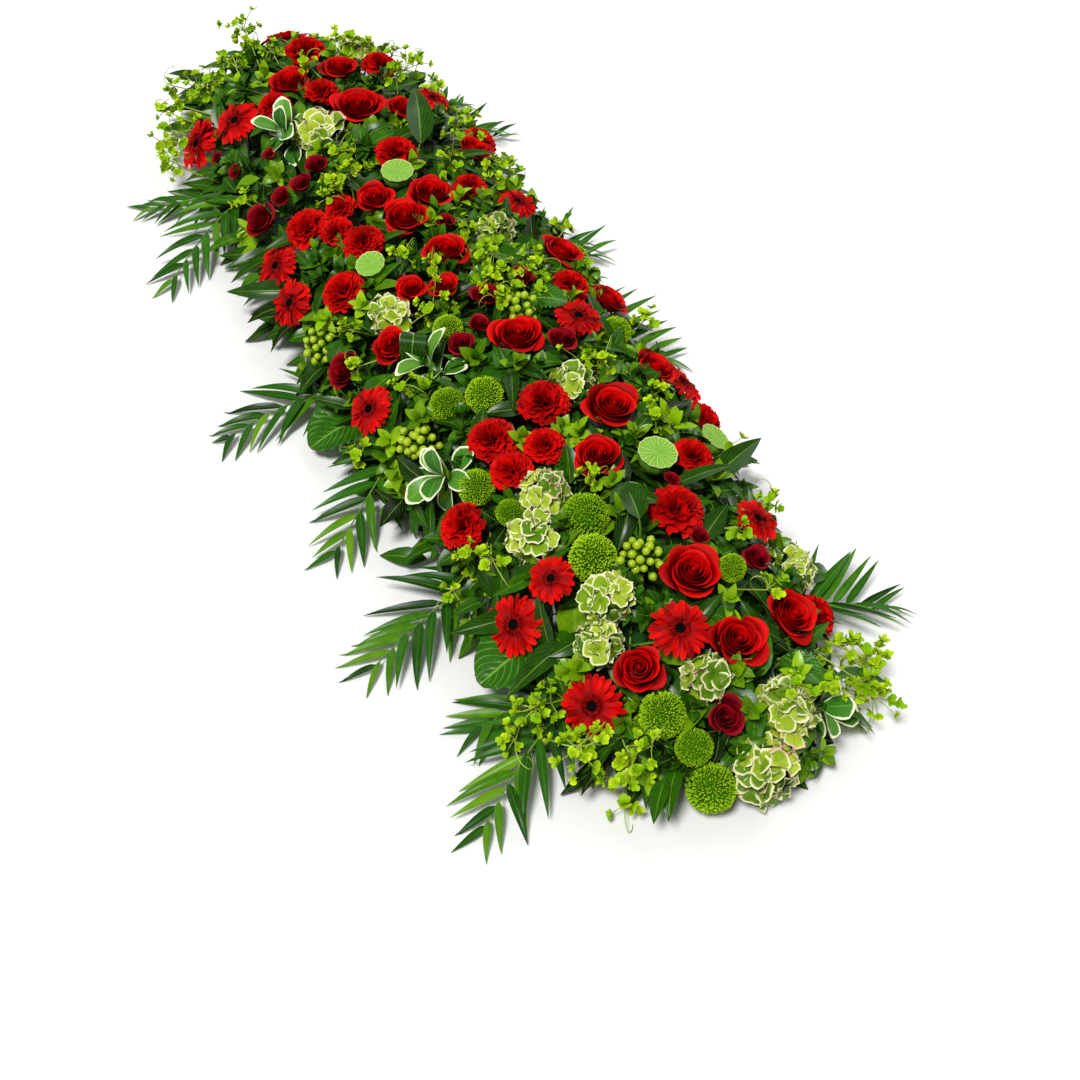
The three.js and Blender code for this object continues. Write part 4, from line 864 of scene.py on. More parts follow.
def frames(facing: Array, spin: Array) -> Array:
    """Works out the frames whose third axis is the facing.

    Args:
        facing: Unit vectors, as (count, 3).
        spin: Turn of each frame about its facing.

    Returns:
        Rows side, third and facing, as (count, 3, 3).
    """
    side = np.cross([0.0, 0.0, 1.0], facing)
    flat = np.linalg.norm(side, axis=-1) < 0.05
    side[flat] = [1.0, 0.0, 0.0]
    side = unit(side)
    third = np.cross(facing, side)
    cos, sin = np.cos(spin)[:, None], np.sin(spin)[:, None]
    turned = side * cos + third * sin
    return np.stack([turned, np.cross(facing, turned), facing], 1)


def bezier(t: Array, *ends: Array | float) -> Array:
    """Works out a cubic curve: its four ends weighted by s^3, 3 s^2 t, 3 s t^2 and t^3, where s = 1 - t.

    Args:
        t: Places on the curve, from 0 to 1.
        *ends: Its start, two controls and end.

    Returns:
        The curve at each t.
    """
    a, b, c, d = ends
    s = 1 - t
    return s ** 3 * a + 3 * s * s * t * b + 3 * s * t * t * c + t ** 3 * d


def bow(t: Array, start: Array, bend: Array, end: Array) -> Array:
    """Returns the quadratic curve from start to end at t, drawn towards its bend."""
    return (1 - t) ** 2 * start + 2 * t * (1 - t) * bend + t ** 2 * end


def aligned(start: Array, end: Array, rows: int) -> Array:
    """Returns evenly spaced points of the straight line from start to end."""
    return start + (end - start) * np.linspace(0, 1, rows)[:, None]


def evenly(count: int, lowest: float) -> Array:
    """Spreads directions evenly over a dome: equal steps in height and golden-angle turns.

    Args:
        count: Number of directions.
        lowest: Height where they end, from the top at 1.

    Returns:
        Unit vectors.
    """
    step = np.arange(count)
    height = 1 - (1 - lowest) * (step + 0.5) / count
    return round_axis(GOLDEN * step, np.sqrt(np.maximum(1 - height ** 2, 0)), height)


@dataclass
class Head:
    """A head in its place."""

    form: Form
    place: Array
    basis: Array
    radius: float
    seed: int

    def put(self, local: Array) -> Array:
        """Returns local points, in parts of the radius, in their place."""
        return self.place + self.radius * (local @ self.basis)


class Planting:
    """Places the heads as the plan says, pushed apart over the mound until they only touch.

    It settles them in so many rounds, with a gap in mm between their petals' reaches.
    """

    rounds = 120
    gap = 1.5

    def __init__(self) -> None:
        """Settles all the heads."""
        rows = [(bunch, form, *head, i) for bunch, (form, heads) in PLAN.items()
                for i, head in enumerate(heads)]
        self.radius = np.array([row[4] / 2 for row in rows])
        sink = np.array([SINK[row[1]] for row in rows])
        xy = self._settle(np.array([row[2:4] for row in rows], float), sink)
        self.place = on_mound(xy)
        self.facing = mound_facing(xy)
        self.centre = self.place - self.facing * (sink * self.radius)[:, None]
        basis = frames(self.facing, np.array([float(row[5]) for row in rows]))
        self.bunches: dict[str, list[Head]] = {}
        for i, row in enumerate(rows):
            head = Head(row[1], self.place[i], basis[i], self.radius[i] * OVERREACH[row[1]], 100 + i)
            self.bunches.setdefault(row[0], []).append(head)

    def _settle(self, xy: Array, sink: Array) -> Array:
        """Pushes crowded heads apart by half of what they lack, round by round, and keeps them on the mound.

        Args:
            xy: Planned places.
            sink: Depth of each head's middle below the mound, in parts of its radius.

        Returns:
            Settled places.
        """
        for _ in range(self.rounds):
            centre = on_mound(xy) - mound_facing(xy) * (sink * self.radius)[:, None]
            between = np.linalg.norm(centre[:, None] - centre[None], axis=-1)
            lack = np.maximum(self.radius[:, None] + self.radius[None] + self.gap - between, 0)
            np.fill_diagonal(lack, 0)
            xy = xy + 0.5 * (lack[..., None] * unit(xy[:, None] - xy[None])).sum(1)
            x = np.clip(xy[:, 0], -X_LIMIT, X_LIMIT)
            room = mound_edge(x, RIM, 0)
            xy = np.stack([x, np.clip(xy[:, 1], -room, room)], -1)
        return xy

    def clear(self, points: Array, share: float) -> Array:
        """Tells which rows of points stay out of every head.

        Args:
            points: Points, as (count, points, 3).
            share: The part of each head's radius to stay out of.

        Returns:
            True for each clear row.
        """
        away = np.linalg.norm(points[:, :, None] - self.centre[None, None], axis=-1)
        return (away > share * self.radius).all(axis=(1, 2))

    def freest_path(self, start: Array, end: Array, rows: int) -> Array:
        """Picks, of a fan of curves of three controls, the one that keeps farthest out of every head.

        It also shuns curves that climb above the mound, and most of all those that hang before a head's face.

        Args:
            start: Where the path starts.
            end: Where it ends.
            rows: Number of its points.

        Returns:
            The path's points.
        """
        t = np.linspace(0, 1, rows)[None, :, None]
        drop, swing = np.meshgrid([-60.0, -40, -20, 0, 20, 40], [-45.0, -25, 0, 25, 45], indexing="ij")
        aside = unit(np.cross(end - start, [0, 0, 1.0]))
        bend = start + (end - start) * 0.55 + drop.reshape(-1, 1) * [0, 0, 1.0] + swing.reshape(-1, 1) * aside
        lift(bend, 10)
        paths = bow(t, start, bend[:, None], end)
        away = np.linalg.norm(paths[:, :, None] - self.centre, axis=-1) - self.radius
        over = np.maximum(paths[..., 2] - on_mound(paths[..., :2])[..., 2] + 30, 0)
        over = over[:, :rows * 3 // 4].mean(axis=1)
        room = np.clip(away.min(axis=(1, 2)), -8, 3)
        return paths[(room - 0.12 * over - 60 * self.veiled(paths)).argmax()]

    def veiled(self, paths: Array) -> Array:
        """Works out how much of each path hangs before a head's face.

        Args:
            paths: Points of the paths, as (count, points, 3).

        Returns:
            The share of each path's points.
        """
        out = paths[:, :, None] - self.place
        high = (out * self.facing).sum(-1)
        aside = np.linalg.norm(out - high[..., None] * self.facing, axis=-1)
        return ((high > 0) & (high < 4 * self.radius) & (aside < self.radius)).any(axis=2).mean(axis=1)


def node_points(node: str) -> Array:
    """Reads the points of a CAD node.

    Args:
        node: The node's name.

    Returns:
        The points, in mm.
    """
    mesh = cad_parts[node].data
    points = np.empty(len(mesh.vertices) * 3, np.float32)
    mesh.vertices.foreach_get("co", points)
    return points.reshape(-1, 3) / MM


def hub_of(node: str) -> Array:
    """Finds where a bunch's trunk leaves the foam: its end in the foam, moved out square to the nearest face.

    Args:
        node: The bunch's node.

    Returns:
        The hub, in mm.
    """
    points = node_points(node)
    well_in = 3
    inside = (np.abs(points[:, 0]) < FOAM_HALF[0] - well_in) & (np.abs(points[:, 1]) < FOAM_HALF[1] - well_in)
    root = points[inside & (points[:, 2] < FOAM_TOP - well_in)].mean(axis=0)
    return root + way_out(root, ROOT_DEPTH) * (ROOT_DEPTH + HUB_REACH)


def way_out(place: Array, depth: float) -> Array:
    """Finds the way out of the foam, through the face that a place is most nearly this deep under.

    Args:
        place: A place.
        depth: The depth.

    Returns:
        A unit vector.
    """
    depths = np.array([FOAM_HALF[0] - abs(place[0]), FOAM_HALF[1] - abs(place[1]), FOAM_TOP - place[2]])
    axis = int(np.abs(depths - depth).argmin())
    out = np.zeros(3)
    out[axis] = 1.0 if axis == 2 else math.copysign(1.0, place[axis])
    return out


def near_points(node: str, place: Array, reach: float) -> Array:
    """Finds the middle of a node's points near a place.

    Args:
        node: The node's name.
        place: The place.
        reach: How far from it the points may lie.

    Returns:
        The middle, or the place itself where there are no points.
    """
    points = node_points(node)
    close = points[np.linalg.norm(points - place, axis=1) < reach]
    return close.mean(axis=0) if len(close) else place


def stems(growth: Growth, hub: Array, feet: Array, facing: Array, radius: float = 2.0) -> None:
    """Adds stems that leave their heads straight and bend together into the hub.

    Args:
        growth: The mesh.
        hub: Where the stems meet.
        feet: Where each head sits on its stem.
        facing: The way each head faces.
        radius: The stems' radius.
    """
    t = np.linspace(0, 1, 12)[None, :, None]
    gap = np.linalg.norm(feet - hub, axis=-1)[:, None, None]
    below = feet[:, None] - facing[:, None] * np.minimum(0.35 * gap, 45)
    start = np.broadcast_to(hub, feet.shape)[:, None]
    leave = start + np.array([0, 0, 1.0]) * np.minimum(0.2 * gap, 30) * (hub[2] > FOAM_TOP)
    paths = bezier(t, start, leave, below, feet[:, None])
    growth.tubes(paths, np.full(12, radius), np.full(len(feet), 0.5), 1)


def root(growth: Growth, hub: Array) -> None:
    """Adds the gathered stem ends that stand in the foam's hole, from the hub inwards."""
    path = hub - way_out(hub, -HUB_REACH) * np.linspace(-3, ROOT_DEPTH + HUB_REACH - 1, 5)[:, None]
    growth.stem(path, 2.9, 2.9, sides=8)


@dataclass
class Rose:
    """A rose: petals in a golden-angle spiral over a green calyx, rolled tight inside and open outside.

    The wrap and how it narrows are a petal's half width in degrees; the other sizes are parts of the radius.
    """

    count: int = 18
    wrap: float = 92.0
    narrow: float = 44.0
    open: float = 0.74
    lip: float = 0.13
    rise: float = 0.24
    rows: Counts = (9, 8)

    def petals(self, rng: Chance) -> Array:
        """Works out the petals.

        Each petal is part of a turned surface. Its wall climbs from the calyx on a cubic curve of radius and
        height, then its lip rolls out and down, most at its middle, so that outer petals end in a soft point.

        Args:
            rng: The head's own chance.

        Returns:
            Grids, as (count, across, along, 3), in parts of the radius.
        """
        step = np.arange(self.count)
        t = ((step + 0.5) / self.count)[:, None, None]
        turn = (step * GOLDEN + rng.normal(0, 0.16, self.count))[:, None, None]
        u = np.linspace(-1, 1, self.rows[0])[None, :, None]
        v = (1 - (1 - np.linspace(0, 1, self.rows[1])) ** 1.35)[None, None, :]
        s = v * (1 - 0.12 * np.abs(u) ** 2.5)
        width = np.radians(self.wrap - self.narrow * t) * (0.42 + 0.58 * np.sin(0.6 * np.pi * s))
        loose = rng.normal(0, 0.035, self.count)[:, None, None]
        wall = 0.05 + (self.open + loose) * t ** 0.9
        reach = bezier(s, 0.05 + 0.1 * t, wall + 0.04, wall, wall * 0.94)
        height = bezier(s, -0.62, -0.52, -0.12, self.rise - 0.16 * t ** 2 + loose)
        roll = np.clip((s - 0.62) / 0.38, 0, 1)
        phase = rng.uniform(*ANY_TURN, self.count)[:, None, None]
        guard = np.clip((t - 0.62) / 0.38, 0, 1)
        point = (0.07 * t + 0.07 * guard) * roll ** 2 * (1 - 2.1 * np.abs(u) ** 1.6)
        lip = (0.03 + self.lip * t ** 0.7 + 0.07 * guard) * (1 + 0.12 * np.sin(3 * u + phase))
        reach = reach + lip * roll ** 1.5 + point
        height = height - (0.005 + 0.15 * t ** 1.5) * roll ** 2.5 - 0.05 * t * roll ** 2 * u ** 2
        height = height + 0.02 * roll * np.sin(4 * u + phase)
        reach = reach * (1 + 0.085 * u + 0.025 * t * np.sin(5 * u + 2 * phase) * s)
        angle = turn + u * width
        return round_axis(angle, reach, height)

    def sepals(self, rng: Chance) -> Array:
        """Works out five narrow sepals that hang out of the calyx.

        Args:
            rng: The head's own chance.

        Returns:
            Grids, as for the petals.
        """
        turn = (even_turns(5) + rng.uniform(0, 1))[:, None, None]
        u, v = sheet_grid(3, 5)
        reach = 0.2 + 0.5 * v
        height = -0.66 + 0.22 * np.sin(2.2 * v) - 0.05 * u ** 2
        across = 0.12 * u * (1 - v ** 1.5) + 0.004 * u
        return round_axis(turn, reach, height, across)

    def grow(self, growth: Growth, head: Head) -> None:
        """Adds the head to the mesh.

        Args:
            growth: The mesh.
            head: The head's place.
        """
        rng = np.random.default_rng(head.seed)
        petals = self.petals(rng)
        growth.sheets(head.put(petals), 0.6, tones_about(rng, 0.25, 0.2, self.count))
        growth.sheets(head.put(self.sepals(rng)), 0.6, np.full(5, 0.5), 1)
        hip = [(0.06, -1.02), (0.1, -0.9), (0.26, -0.8), (0.34, -0.66), (0.26, -0.5), (0.05, -0.48)]
        cup(growth, head, hip, 1)
        cup(growth, head, [(0.05, -0.5), (0.14, -0.4), (0.11, 0.0), (0.05, 0.12), (0.02, 0.13)], 0, 9)
        # Painted shade: a dark red bowl under the petals, all in the shade colour, fills the gaps between them
        shade_bowl = [(0.1, -0.58), (0.42, -0.5), (0.56, -0.34), (0.3, -0.38), (0.1, -0.36)]
        cup(growth, head, shade_bowl, 0, tone=1.3)


def cup(growth: Growth, head: Head, profile: list[Pair], slot: int, sides: int = 12,
        waves: int = 0, depth: float = 0.0, tone: float = 0.5) -> None:
    """Adds a turned body to a head, with its radius waved round it if asked.

    Args:
        growth: The mesh.
        head: The head.
        profile: Radius and height of each row, in parts of the head's radius, from the foot up.
        slot: The material slot.
        sides: Points round the body.
        waves: Number of waves round it.
        depth: The waves' depth as a part of the radius.
        tone: The body's tone.
    """
    turn = even_turns(sides)[:, None]
    radius, height = np.array(profile).T
    grid = round_axis(turn, radius * (1 + depth * np.cos(waves * turn)), height)
    growth.turned(head.put(grid)[None], np.array([tone]), slot)


@dataclass
class Carnation:
    """A carnation: crowded fans with frilled, toothed edges that spread from one point into a dome.

    The widest petal leans out by so many degrees.
    """

    count: int = 32
    widest: float = 76.0

    def petals(self, rng: Chance) -> Array:
        """Works out the petals.

        A petal is a fan: it leaves the middle at its own polar angle, bends outwards, widens with the power
        1.3 of its length, waves across itself more towards its edge, and ends in teeth.

        Args:
            rng: The head's own chance.

        Returns:
            Grids, as (count, across, along, 3), in parts of the radius.
        """
        step = np.arange(self.count)
        t = ((step + 0.5) / self.count)[:, None, None]
        turn = (step * GOLDEN + rng.normal(0, 0.15, self.count))[:, None, None]
        u, v = sheet_grid(9, 4)
        teeth = np.where(np.arange(9) % 2, 1.0, -1.0)[None, :, None]
        polar = np.radians(4 + (self.widest - 4) * t ** 0.75) + rng.normal(0, 0.06, self.count)[:, None, None]
        bent = polar * (0.72 + 0.34 * v ** 2)
        length = (0.80 + 0.17 * t) * (v - 0.1 * v * u ** 2 + 0.045 * teeth * (v == 1))
        phase = rng.uniform(*ANY_TURN, self.count)[:, None, None]
        frill = (0.10 - 0.02 * t) * v ** 2 * np.sin(4.6 * u + phase)
        frill = frill + 0.03 * v ** 4 * np.sin(11 * u + 2 * phase)
        across = (0.05 + 0.40 * v ** 1.3) * u
        out = length * np.sin(bent) + frill * np.cos(bent)
        height = -0.46 + length * np.cos(bent) - frill * np.sin(bent)
        return round_axis(turn, out, height, across)

    def grow(self, growth: Growth, head: Head) -> None:
        """Adds the head to the mesh.

        Args:
            growth: The mesh.
            head: The head's place.
        """
        rng = np.random.default_rng(head.seed)
        growth.sheets(head.put(self.petals(rng)), 0.4, tones_about(rng, 0.4, 0.25, self.count))
        cup(growth, head, [(0.07, -1.12), (0.16, -1.05), (0.2, -0.7), (0.24, -0.4), (0.1, -0.3)], 1)


@dataclass
class Gerbera:
    """A small gerbera: two rows of broad flat rays, a collar of short ones, and a dark disc of florets."""

    rays: Counts = (23, 19)
    collar: int = 30
    florets: int = 110
    dark_florets: int = 38
    disc: float = 0.27

    def row(self, rng: Chance, count: int, inner: float, outer: float, stand: float, half: float,
            rows: Counts) -> Array:
        """Works out one row of rays.

        A ray is a long tongue: its half width follows a sine that is full near the tip, its tip is blunt with
        a notch, its sides stand up a little, and it arches and then droops.

        Args:
            rng: The head's own chance.
            count: Number of rays.
            inner: Radius where the rays start.
            outer: Radius of their tips.
            stand: How far the row stands up.
            half: Half width of a ray.
            rows: Points across and along.

        Returns:
            Grids, as (count, across, along, 3), in parts of the radius.
        """
        turn = (2 * np.pi * (np.arange(count) + rng.normal(0, 0.13, count)) / count)[:, None, None]
        u, v = sheet_grid(rows[0], rows[1])
        s = v * (1 - 0.13 * np.abs(u) ** 2.2 - 0.025 * (np.abs(u) < 0.1))
        tip = outer * (1 + rng.normal(0, 0.04, count))[:, None, None]
        reach = inner + (tip - inner) * s
        across = u * half * np.sin(np.pi * (0.14 + 0.58 * s)) ** 0.8
        droop = rng.normal(0.06, 0.05, count)[:, None, None]
        twist = rng.normal(0, 0.06, count)[:, None, None]
        over = rng.uniform(0, 0.06, count)[:, None, None]
        height = (stand * (1 - 0.6 * s) + over * s + 0.07 * np.sin(np.pi * s) - droop * s ** 2
                  + 0.05 * u ** 2 * s + twist * u * s)
        return round_axis(turn, reach, height, across)

    def grow(self, growth: Growth, head: Head) -> None:
        """Adds the head to the mesh.

        Args:
            growth: The mesh.
            head: The head's place.
        """
        rng = np.random.default_rng(head.seed)
        rows = [(self.rays[0], 0.16, 1.0, 0.0, 0.106, (5, 6)),
                (self.rays[1], 0.16, 0.86, 0.11, 0.096, (5, 6)),
                (self.collar, 0.17, 0.38, 0.17, 0.030, (3, 4))]
        for count, inner, outer, stand, half, points in rows:
            rays = self.row(rng, count, inner, outer, stand, half, points)
            middle = 0.3 if outer > 0.5 else 1.0
            growth.sheets(head.put(rays), 0.4, np.clip(rng.normal(middle, 0.32, count), -0.1, 1.1))
        cup(growth, head, [(0.07, -0.3), (0.2, -0.22), (0.26, -0.05), (0.2, 0.02)], 1)
        cup(growth, head, [(0.2, 0.0), (0.25, 0.1), (0.18, 0.16), (0.06, 0.14)], 2, 16, tone=1.4)
        step = np.arange(self.florets)
        reach = self.disc * np.sqrt((step + 0.5) / self.florets)
        roots = round_axis(GOLDEN * step, reach, 0.1)
        lean = round_axis(GOLDEN * step, reach, 0.35)
        tips = roots + unit(lean) * (0.07 + 0.10 * (reach / self.disc)[:, None] ** 2)
        tones = np.where(step < self.dark_florets, 1.4, -0.7)
        growth.spikes(head.put(roots), head.put(tips), 0.028 * head.radius, tones, 2)


@dataclass
class GreenBall:
    """A fuzzy green ball: hundreds of fine bracts that stand out of a round core on all sides."""

    count: int = 1040
    middle: float = -0.55
    core: float = 0.78

    def grow(self, growth: Growth, head: Head) -> None:
        """Adds the head: each bract is a blunt grain from the core, bent off its own way a little.

        Args:
            growth: The mesh.
            head: The head's place.
        """
        rng = np.random.default_rng(head.seed)
        ways = evenly(self.count, -0.9)
        bent = unit(ways + rng.normal(0, 0.75, ways.shape))
        heart = np.array([0, 0, self.middle])
        x, y, z = ways.T
        lumps = 1 + 0.05 * np.sin(7 * x + head.seed) * np.sin(6 * y) * np.sin(5 * z)
        tips = heart + ways * (0.88 * lumps)[:, None] + bent * rng.uniform(0.04, 0.11, self.count)[:, None]
        roots = heart + ways * 0.74
        tones = np.clip(rng.uniform(-0.25, 0.45) + rng.uniform(0, 0.6, self.count), 0, 1)
        growth.grains(head.put(roots), head.put(tips), 0.046 * head.radius, tones, 0)
        polar = np.linspace(0.15, np.pi - 0.15, 12)
        core = [(self.core * math.sin(a), self.middle - self.core * math.cos(a)) for a in polar]
        cup(growth, head, core, 2, 18, 9, 0.03)
        cup(growth, head, [(0.06, -1.5), (0.12, -1.4), (0.3, -1.25)], 1)


@dataclass
class Hydrangea:
    """A hydrangea head: a ruffled dome of broad sepals that stand up and roll out, green with cream edges.

    A head under the parting radius has the small number of florets, which are broader in parts of its radius.
    """

    small: tuple[int, float] = (9, 1.38)
    large: tuple[int, float] = (14, 1.14)
    parting: float = 34.0
    flat: float = 0.64

    def grow(self, growth: Growth, head: Head) -> None:
        """Adds the head.

        Florets stand on an ellipsoid. Each has four sepals, and a sepal is a fan whose slope falls from its
        foot to its lip; its sides curl in, and its margin waves square to the blade.

        Args:
            growth: The mesh.
            head: The head's place.
        """
        rng = np.random.default_rng(head.seed)
        count, breadth = self.small if head.radius < self.parting else self.large
        ways = evenly(count, -0.15)
        shape = np.array([0.68, 0.68, self.flat])
        heart = np.array([0, 0, -0.5])
        places = heart + ways * shape * rng.uniform(0.80, 0.98, count)[:, None]
        facing = unit(ways / shape + rng.normal(0, 0.35, ways.shape))
        basis = frames(facing, rng.uniform(*ANY_TURN, count))
        u, v = sheet_grid(6, 5)
        each = (count, 4, 1, 1)
        turn = (np.pi / 2 * np.arange(4))[None, :, None, None] + rng.normal(0, 0.18, each)
        size, phase = breadth * rng.uniform(0.8, 1.2, each), rng.uniform(*ANY_TURN, each)
        s = v * (1 - 0.12 * u ** 2)
        slope = rng.uniform(0.2, 1.25, each) * (1.1 - 0.75 * s)
        length = 0.43 * size * s
        across = 0.27 * size * u * np.sin(np.pi * (0.10 + 0.64 * s))
        wave = 0.085 * np.maximum(np.abs(u), v) ** 2 * v * np.sin(4.4 * u + 4 * v + phase)
        ruffle = 0.10 * u ** 2 * s + wave
        reach = 0.02 + length * np.cos(slope) - ruffle * np.sin(slope)
        height = 0.03 + length * np.sin(slope) + ruffle * np.cos(slope)
        local = round_axis(turn, reach, height, across)
        sepals = np.einsum("fsabk,fkj->fsabj", local, basis) + places[:, None, None, None]
        growth.sheets(head.put(sepals.reshape(-1, 6, 5, 3)), 0.5, np.repeat(rng.uniform(0, 1, count), 4))
        beads = np.stack([places, places + facing * 0.06], 1)
        growth.tubes(head.put(beads), np.array([0.035, 0.028]) * head.radius, np.full(count, 0.5), 1, 5)
        stalks = np.stack([np.broadcast_to(heart + [0, 0, -0.5], places.shape), places - facing * 0.01], 1)
        growth.tubes(head.put(stalks), np.array([0.03, 0.014]) * head.radius, np.full(count, 0.5), 1, 3)
        polar = np.linspace(0.2, np.pi - 0.2, 9)
        core = [(0.52 * math.sin(a), -0.55 - 0.42 * math.cos(a)) for a in polar]
        cup(growth, head, core, 1, 14, 7, 0.05)


@dataclass
class SeedPod:
    """A seed pod: a smooth goblet with soft lobes and a flat, rayed lid with a pale rim."""

    lobes: int = 12

    def grow(self, growth: Growth, head: Head) -> None:
        """Adds the head: a turned goblet with waves round it, and a lid whose rays and rim stand up.

        Args:
            growth: The mesh.
            head: The head's place.
        """
        goblet = [(0.07, -1.42), (0.12, -1.3), (0.42, -1.1), (0.7, -0.85), (0.86, -0.5), (0.88, -0.2),
                  (0.84, -0.05), (0.90, 0.0), (0.5, 0.02)]
        cup(growth, head, goblet, 0, 48, self.lobes, 0.025)
        turn = even_turns(72)[:, None]
        row = np.linspace(1, 0.04, 14)[None, :]
        reach = 0.98 * row * (1 + 0.02 * np.cos(self.lobes * turn) * row)
        ray = np.abs(np.cos(0.5 * self.lobes * turn)) ** 6
        crest = 0.05 + 0.03 * ray * np.sin(np.pi * row) + 0.05 * np.exp(-((1 - row) / 0.1) ** 2)
        crest = crest + 0.03 * np.exp(-(row / 0.12) ** 2)
        lid = round_axis(turn, reach, crest)
        under = lid[:, :2] * [0.985, 0.985, 1.0] - [0, 0, 0.07]
        grid = np.concatenate([under[:, ::-1], lid], 1)
        growth.turned(head.put(grid)[None], np.array([0.1]), 2)


@dataclass
class BerryBunch:
    """A bunch of small green berries on short stalks; the size is a berry's radius, in mm."""

    count: int = 24
    size: float = 5.9

    def grow(self, growth: Growth, head: Head) -> None:
        """Adds the bunch: spheres on even directions, each with a short beak, on stalks from one place.

        Args:
            growth: The mesh.
            head: The head's place.
        """
        rng = np.random.default_rng(head.seed)
        ways = evenly(self.count, -0.2)
        heart = np.array([0, 0, -0.75])
        reach = rng.uniform(0.55, 0.98, self.count)[:, None]
        places = head.put(heart + ways * reach)
        outward = unit(ways @ head.basis)
        basis = frames(outward, np.zeros(self.count))
        sides, rows = 10, 8
        turn = even_turns(sides)[:, None]
        polar = np.linspace(0.12, np.pi - 0.12, rows)[None, :]
        beak = 1 + 0.12 * np.exp(-((np.pi - polar) / 0.3) ** 2)
        local = round_axis(turn, np.sin(polar), -np.cos(polar) * beak)
        size = self.size * rng.uniform(0.9, 1.08, self.count)
        balls = np.einsum("srk,fkj->fsrj", local, basis) * size[:, None, None, None] + places[:, None, None]
        growth.turned(balls, rng.uniform(0, 1, self.count))
        start = np.broadcast_to(head.put(heart + [0, 0, -0.3]), places.shape)
        growth.tubes(np.stack([start, places], 1), np.array([1.4, 0.9]), np.full(self.count, 0.5), 1, 5)


@dataclass
class Leaves:
    """A batch of leaf blades, by foot, tip, the way each face looks, full width, cup and curl.

    The cup is the rise of the sides as a part of the half width. The curl is how far each tip falls, as a
    part of the length.
    """

    base: Array
    tip: Array
    up: Array
    width: Array
    cup: float
    curl: Array

    def blades(self, waist: float = 0.62, rows: Counts = (5, 8), ribs: float = 0.0,
               fullness: float = 0.85) -> Array:
        """Works out pointed or oval blades.

        A blade's half width is a sine of its length's power, so it is widest where the waist says.

        Args:
            waist: Power that moves the widest place.
            rows: Points across and along.
            ribs: Number of the ridges that slant from the midrib to each margin.
            fullness: Power of the outline; a small one makes an oval.

        Returns:
            Grids, as (count, across, along, 3).
        """
        u, v = sheet_grid(rows[0], rows[1])
        half = self.width[:, None, None] / 2
        swell = np.sin(np.pi * np.clip(v, 0.004, 0.992) ** waist) ** fullness
        ridge = 0.085 * np.sqrt(np.abs(u)) * np.cos(2 * np.pi * ribs * (v - 0.3 * np.abs(u))) * min(ribs, 1)
        rise = half * swell * (self.cup * np.abs(u) ** 1.5 + ridge)
        return self._lay(v, u * half * swell, rise)

    def spoons(self) -> Array:
        """Returns spoon-shaped blades: narrow at the foot and widest near a round tip."""
        u, v = sheet_grid(7, 9)
        half = self.width[:, None, None] / 2
        s = v * (1 - 0.17 * np.abs(u) ** 2.2)
        swell = 0.10 + 0.90 * np.sin(np.pi * (0.04 + 0.72 * s ** 1.25)) ** 1.1
        return self._lay(s, u * half * swell, self.cup * half * np.abs(u) ** 1.5 * swell)

    def _lay(self, along: Array, out: Array, rise: Array) -> Array:
        """Lays the blades in their places: their midribs arch up and curl down at the tip.

        Args:
            along: Place of each point along its blade, from 0 to 1.
            out: Its place to the side, in mm.
            rise: Its height over the midrib, in mm.

        Returns:
            Grids, as (count, across, along, 3).
        """
        length = np.linalg.norm(self.tip - self.base, axis=-1)[:, None, None]
        ahead = unit(self.tip - self.base)
        side = unit(np.cross(self.up, ahead))
        over = np.cross(ahead, side)
        arch = length * self.curl[:, None, None] * (np.sin(np.pi * along) * 0.6 - along ** 2)
        return (self.base[:, None, None] + ahead[:, None, None] * (length * along)[..., None]
                + side[:, None, None] * out[..., None] + over[:, None, None] * (rise + arch)[..., None])


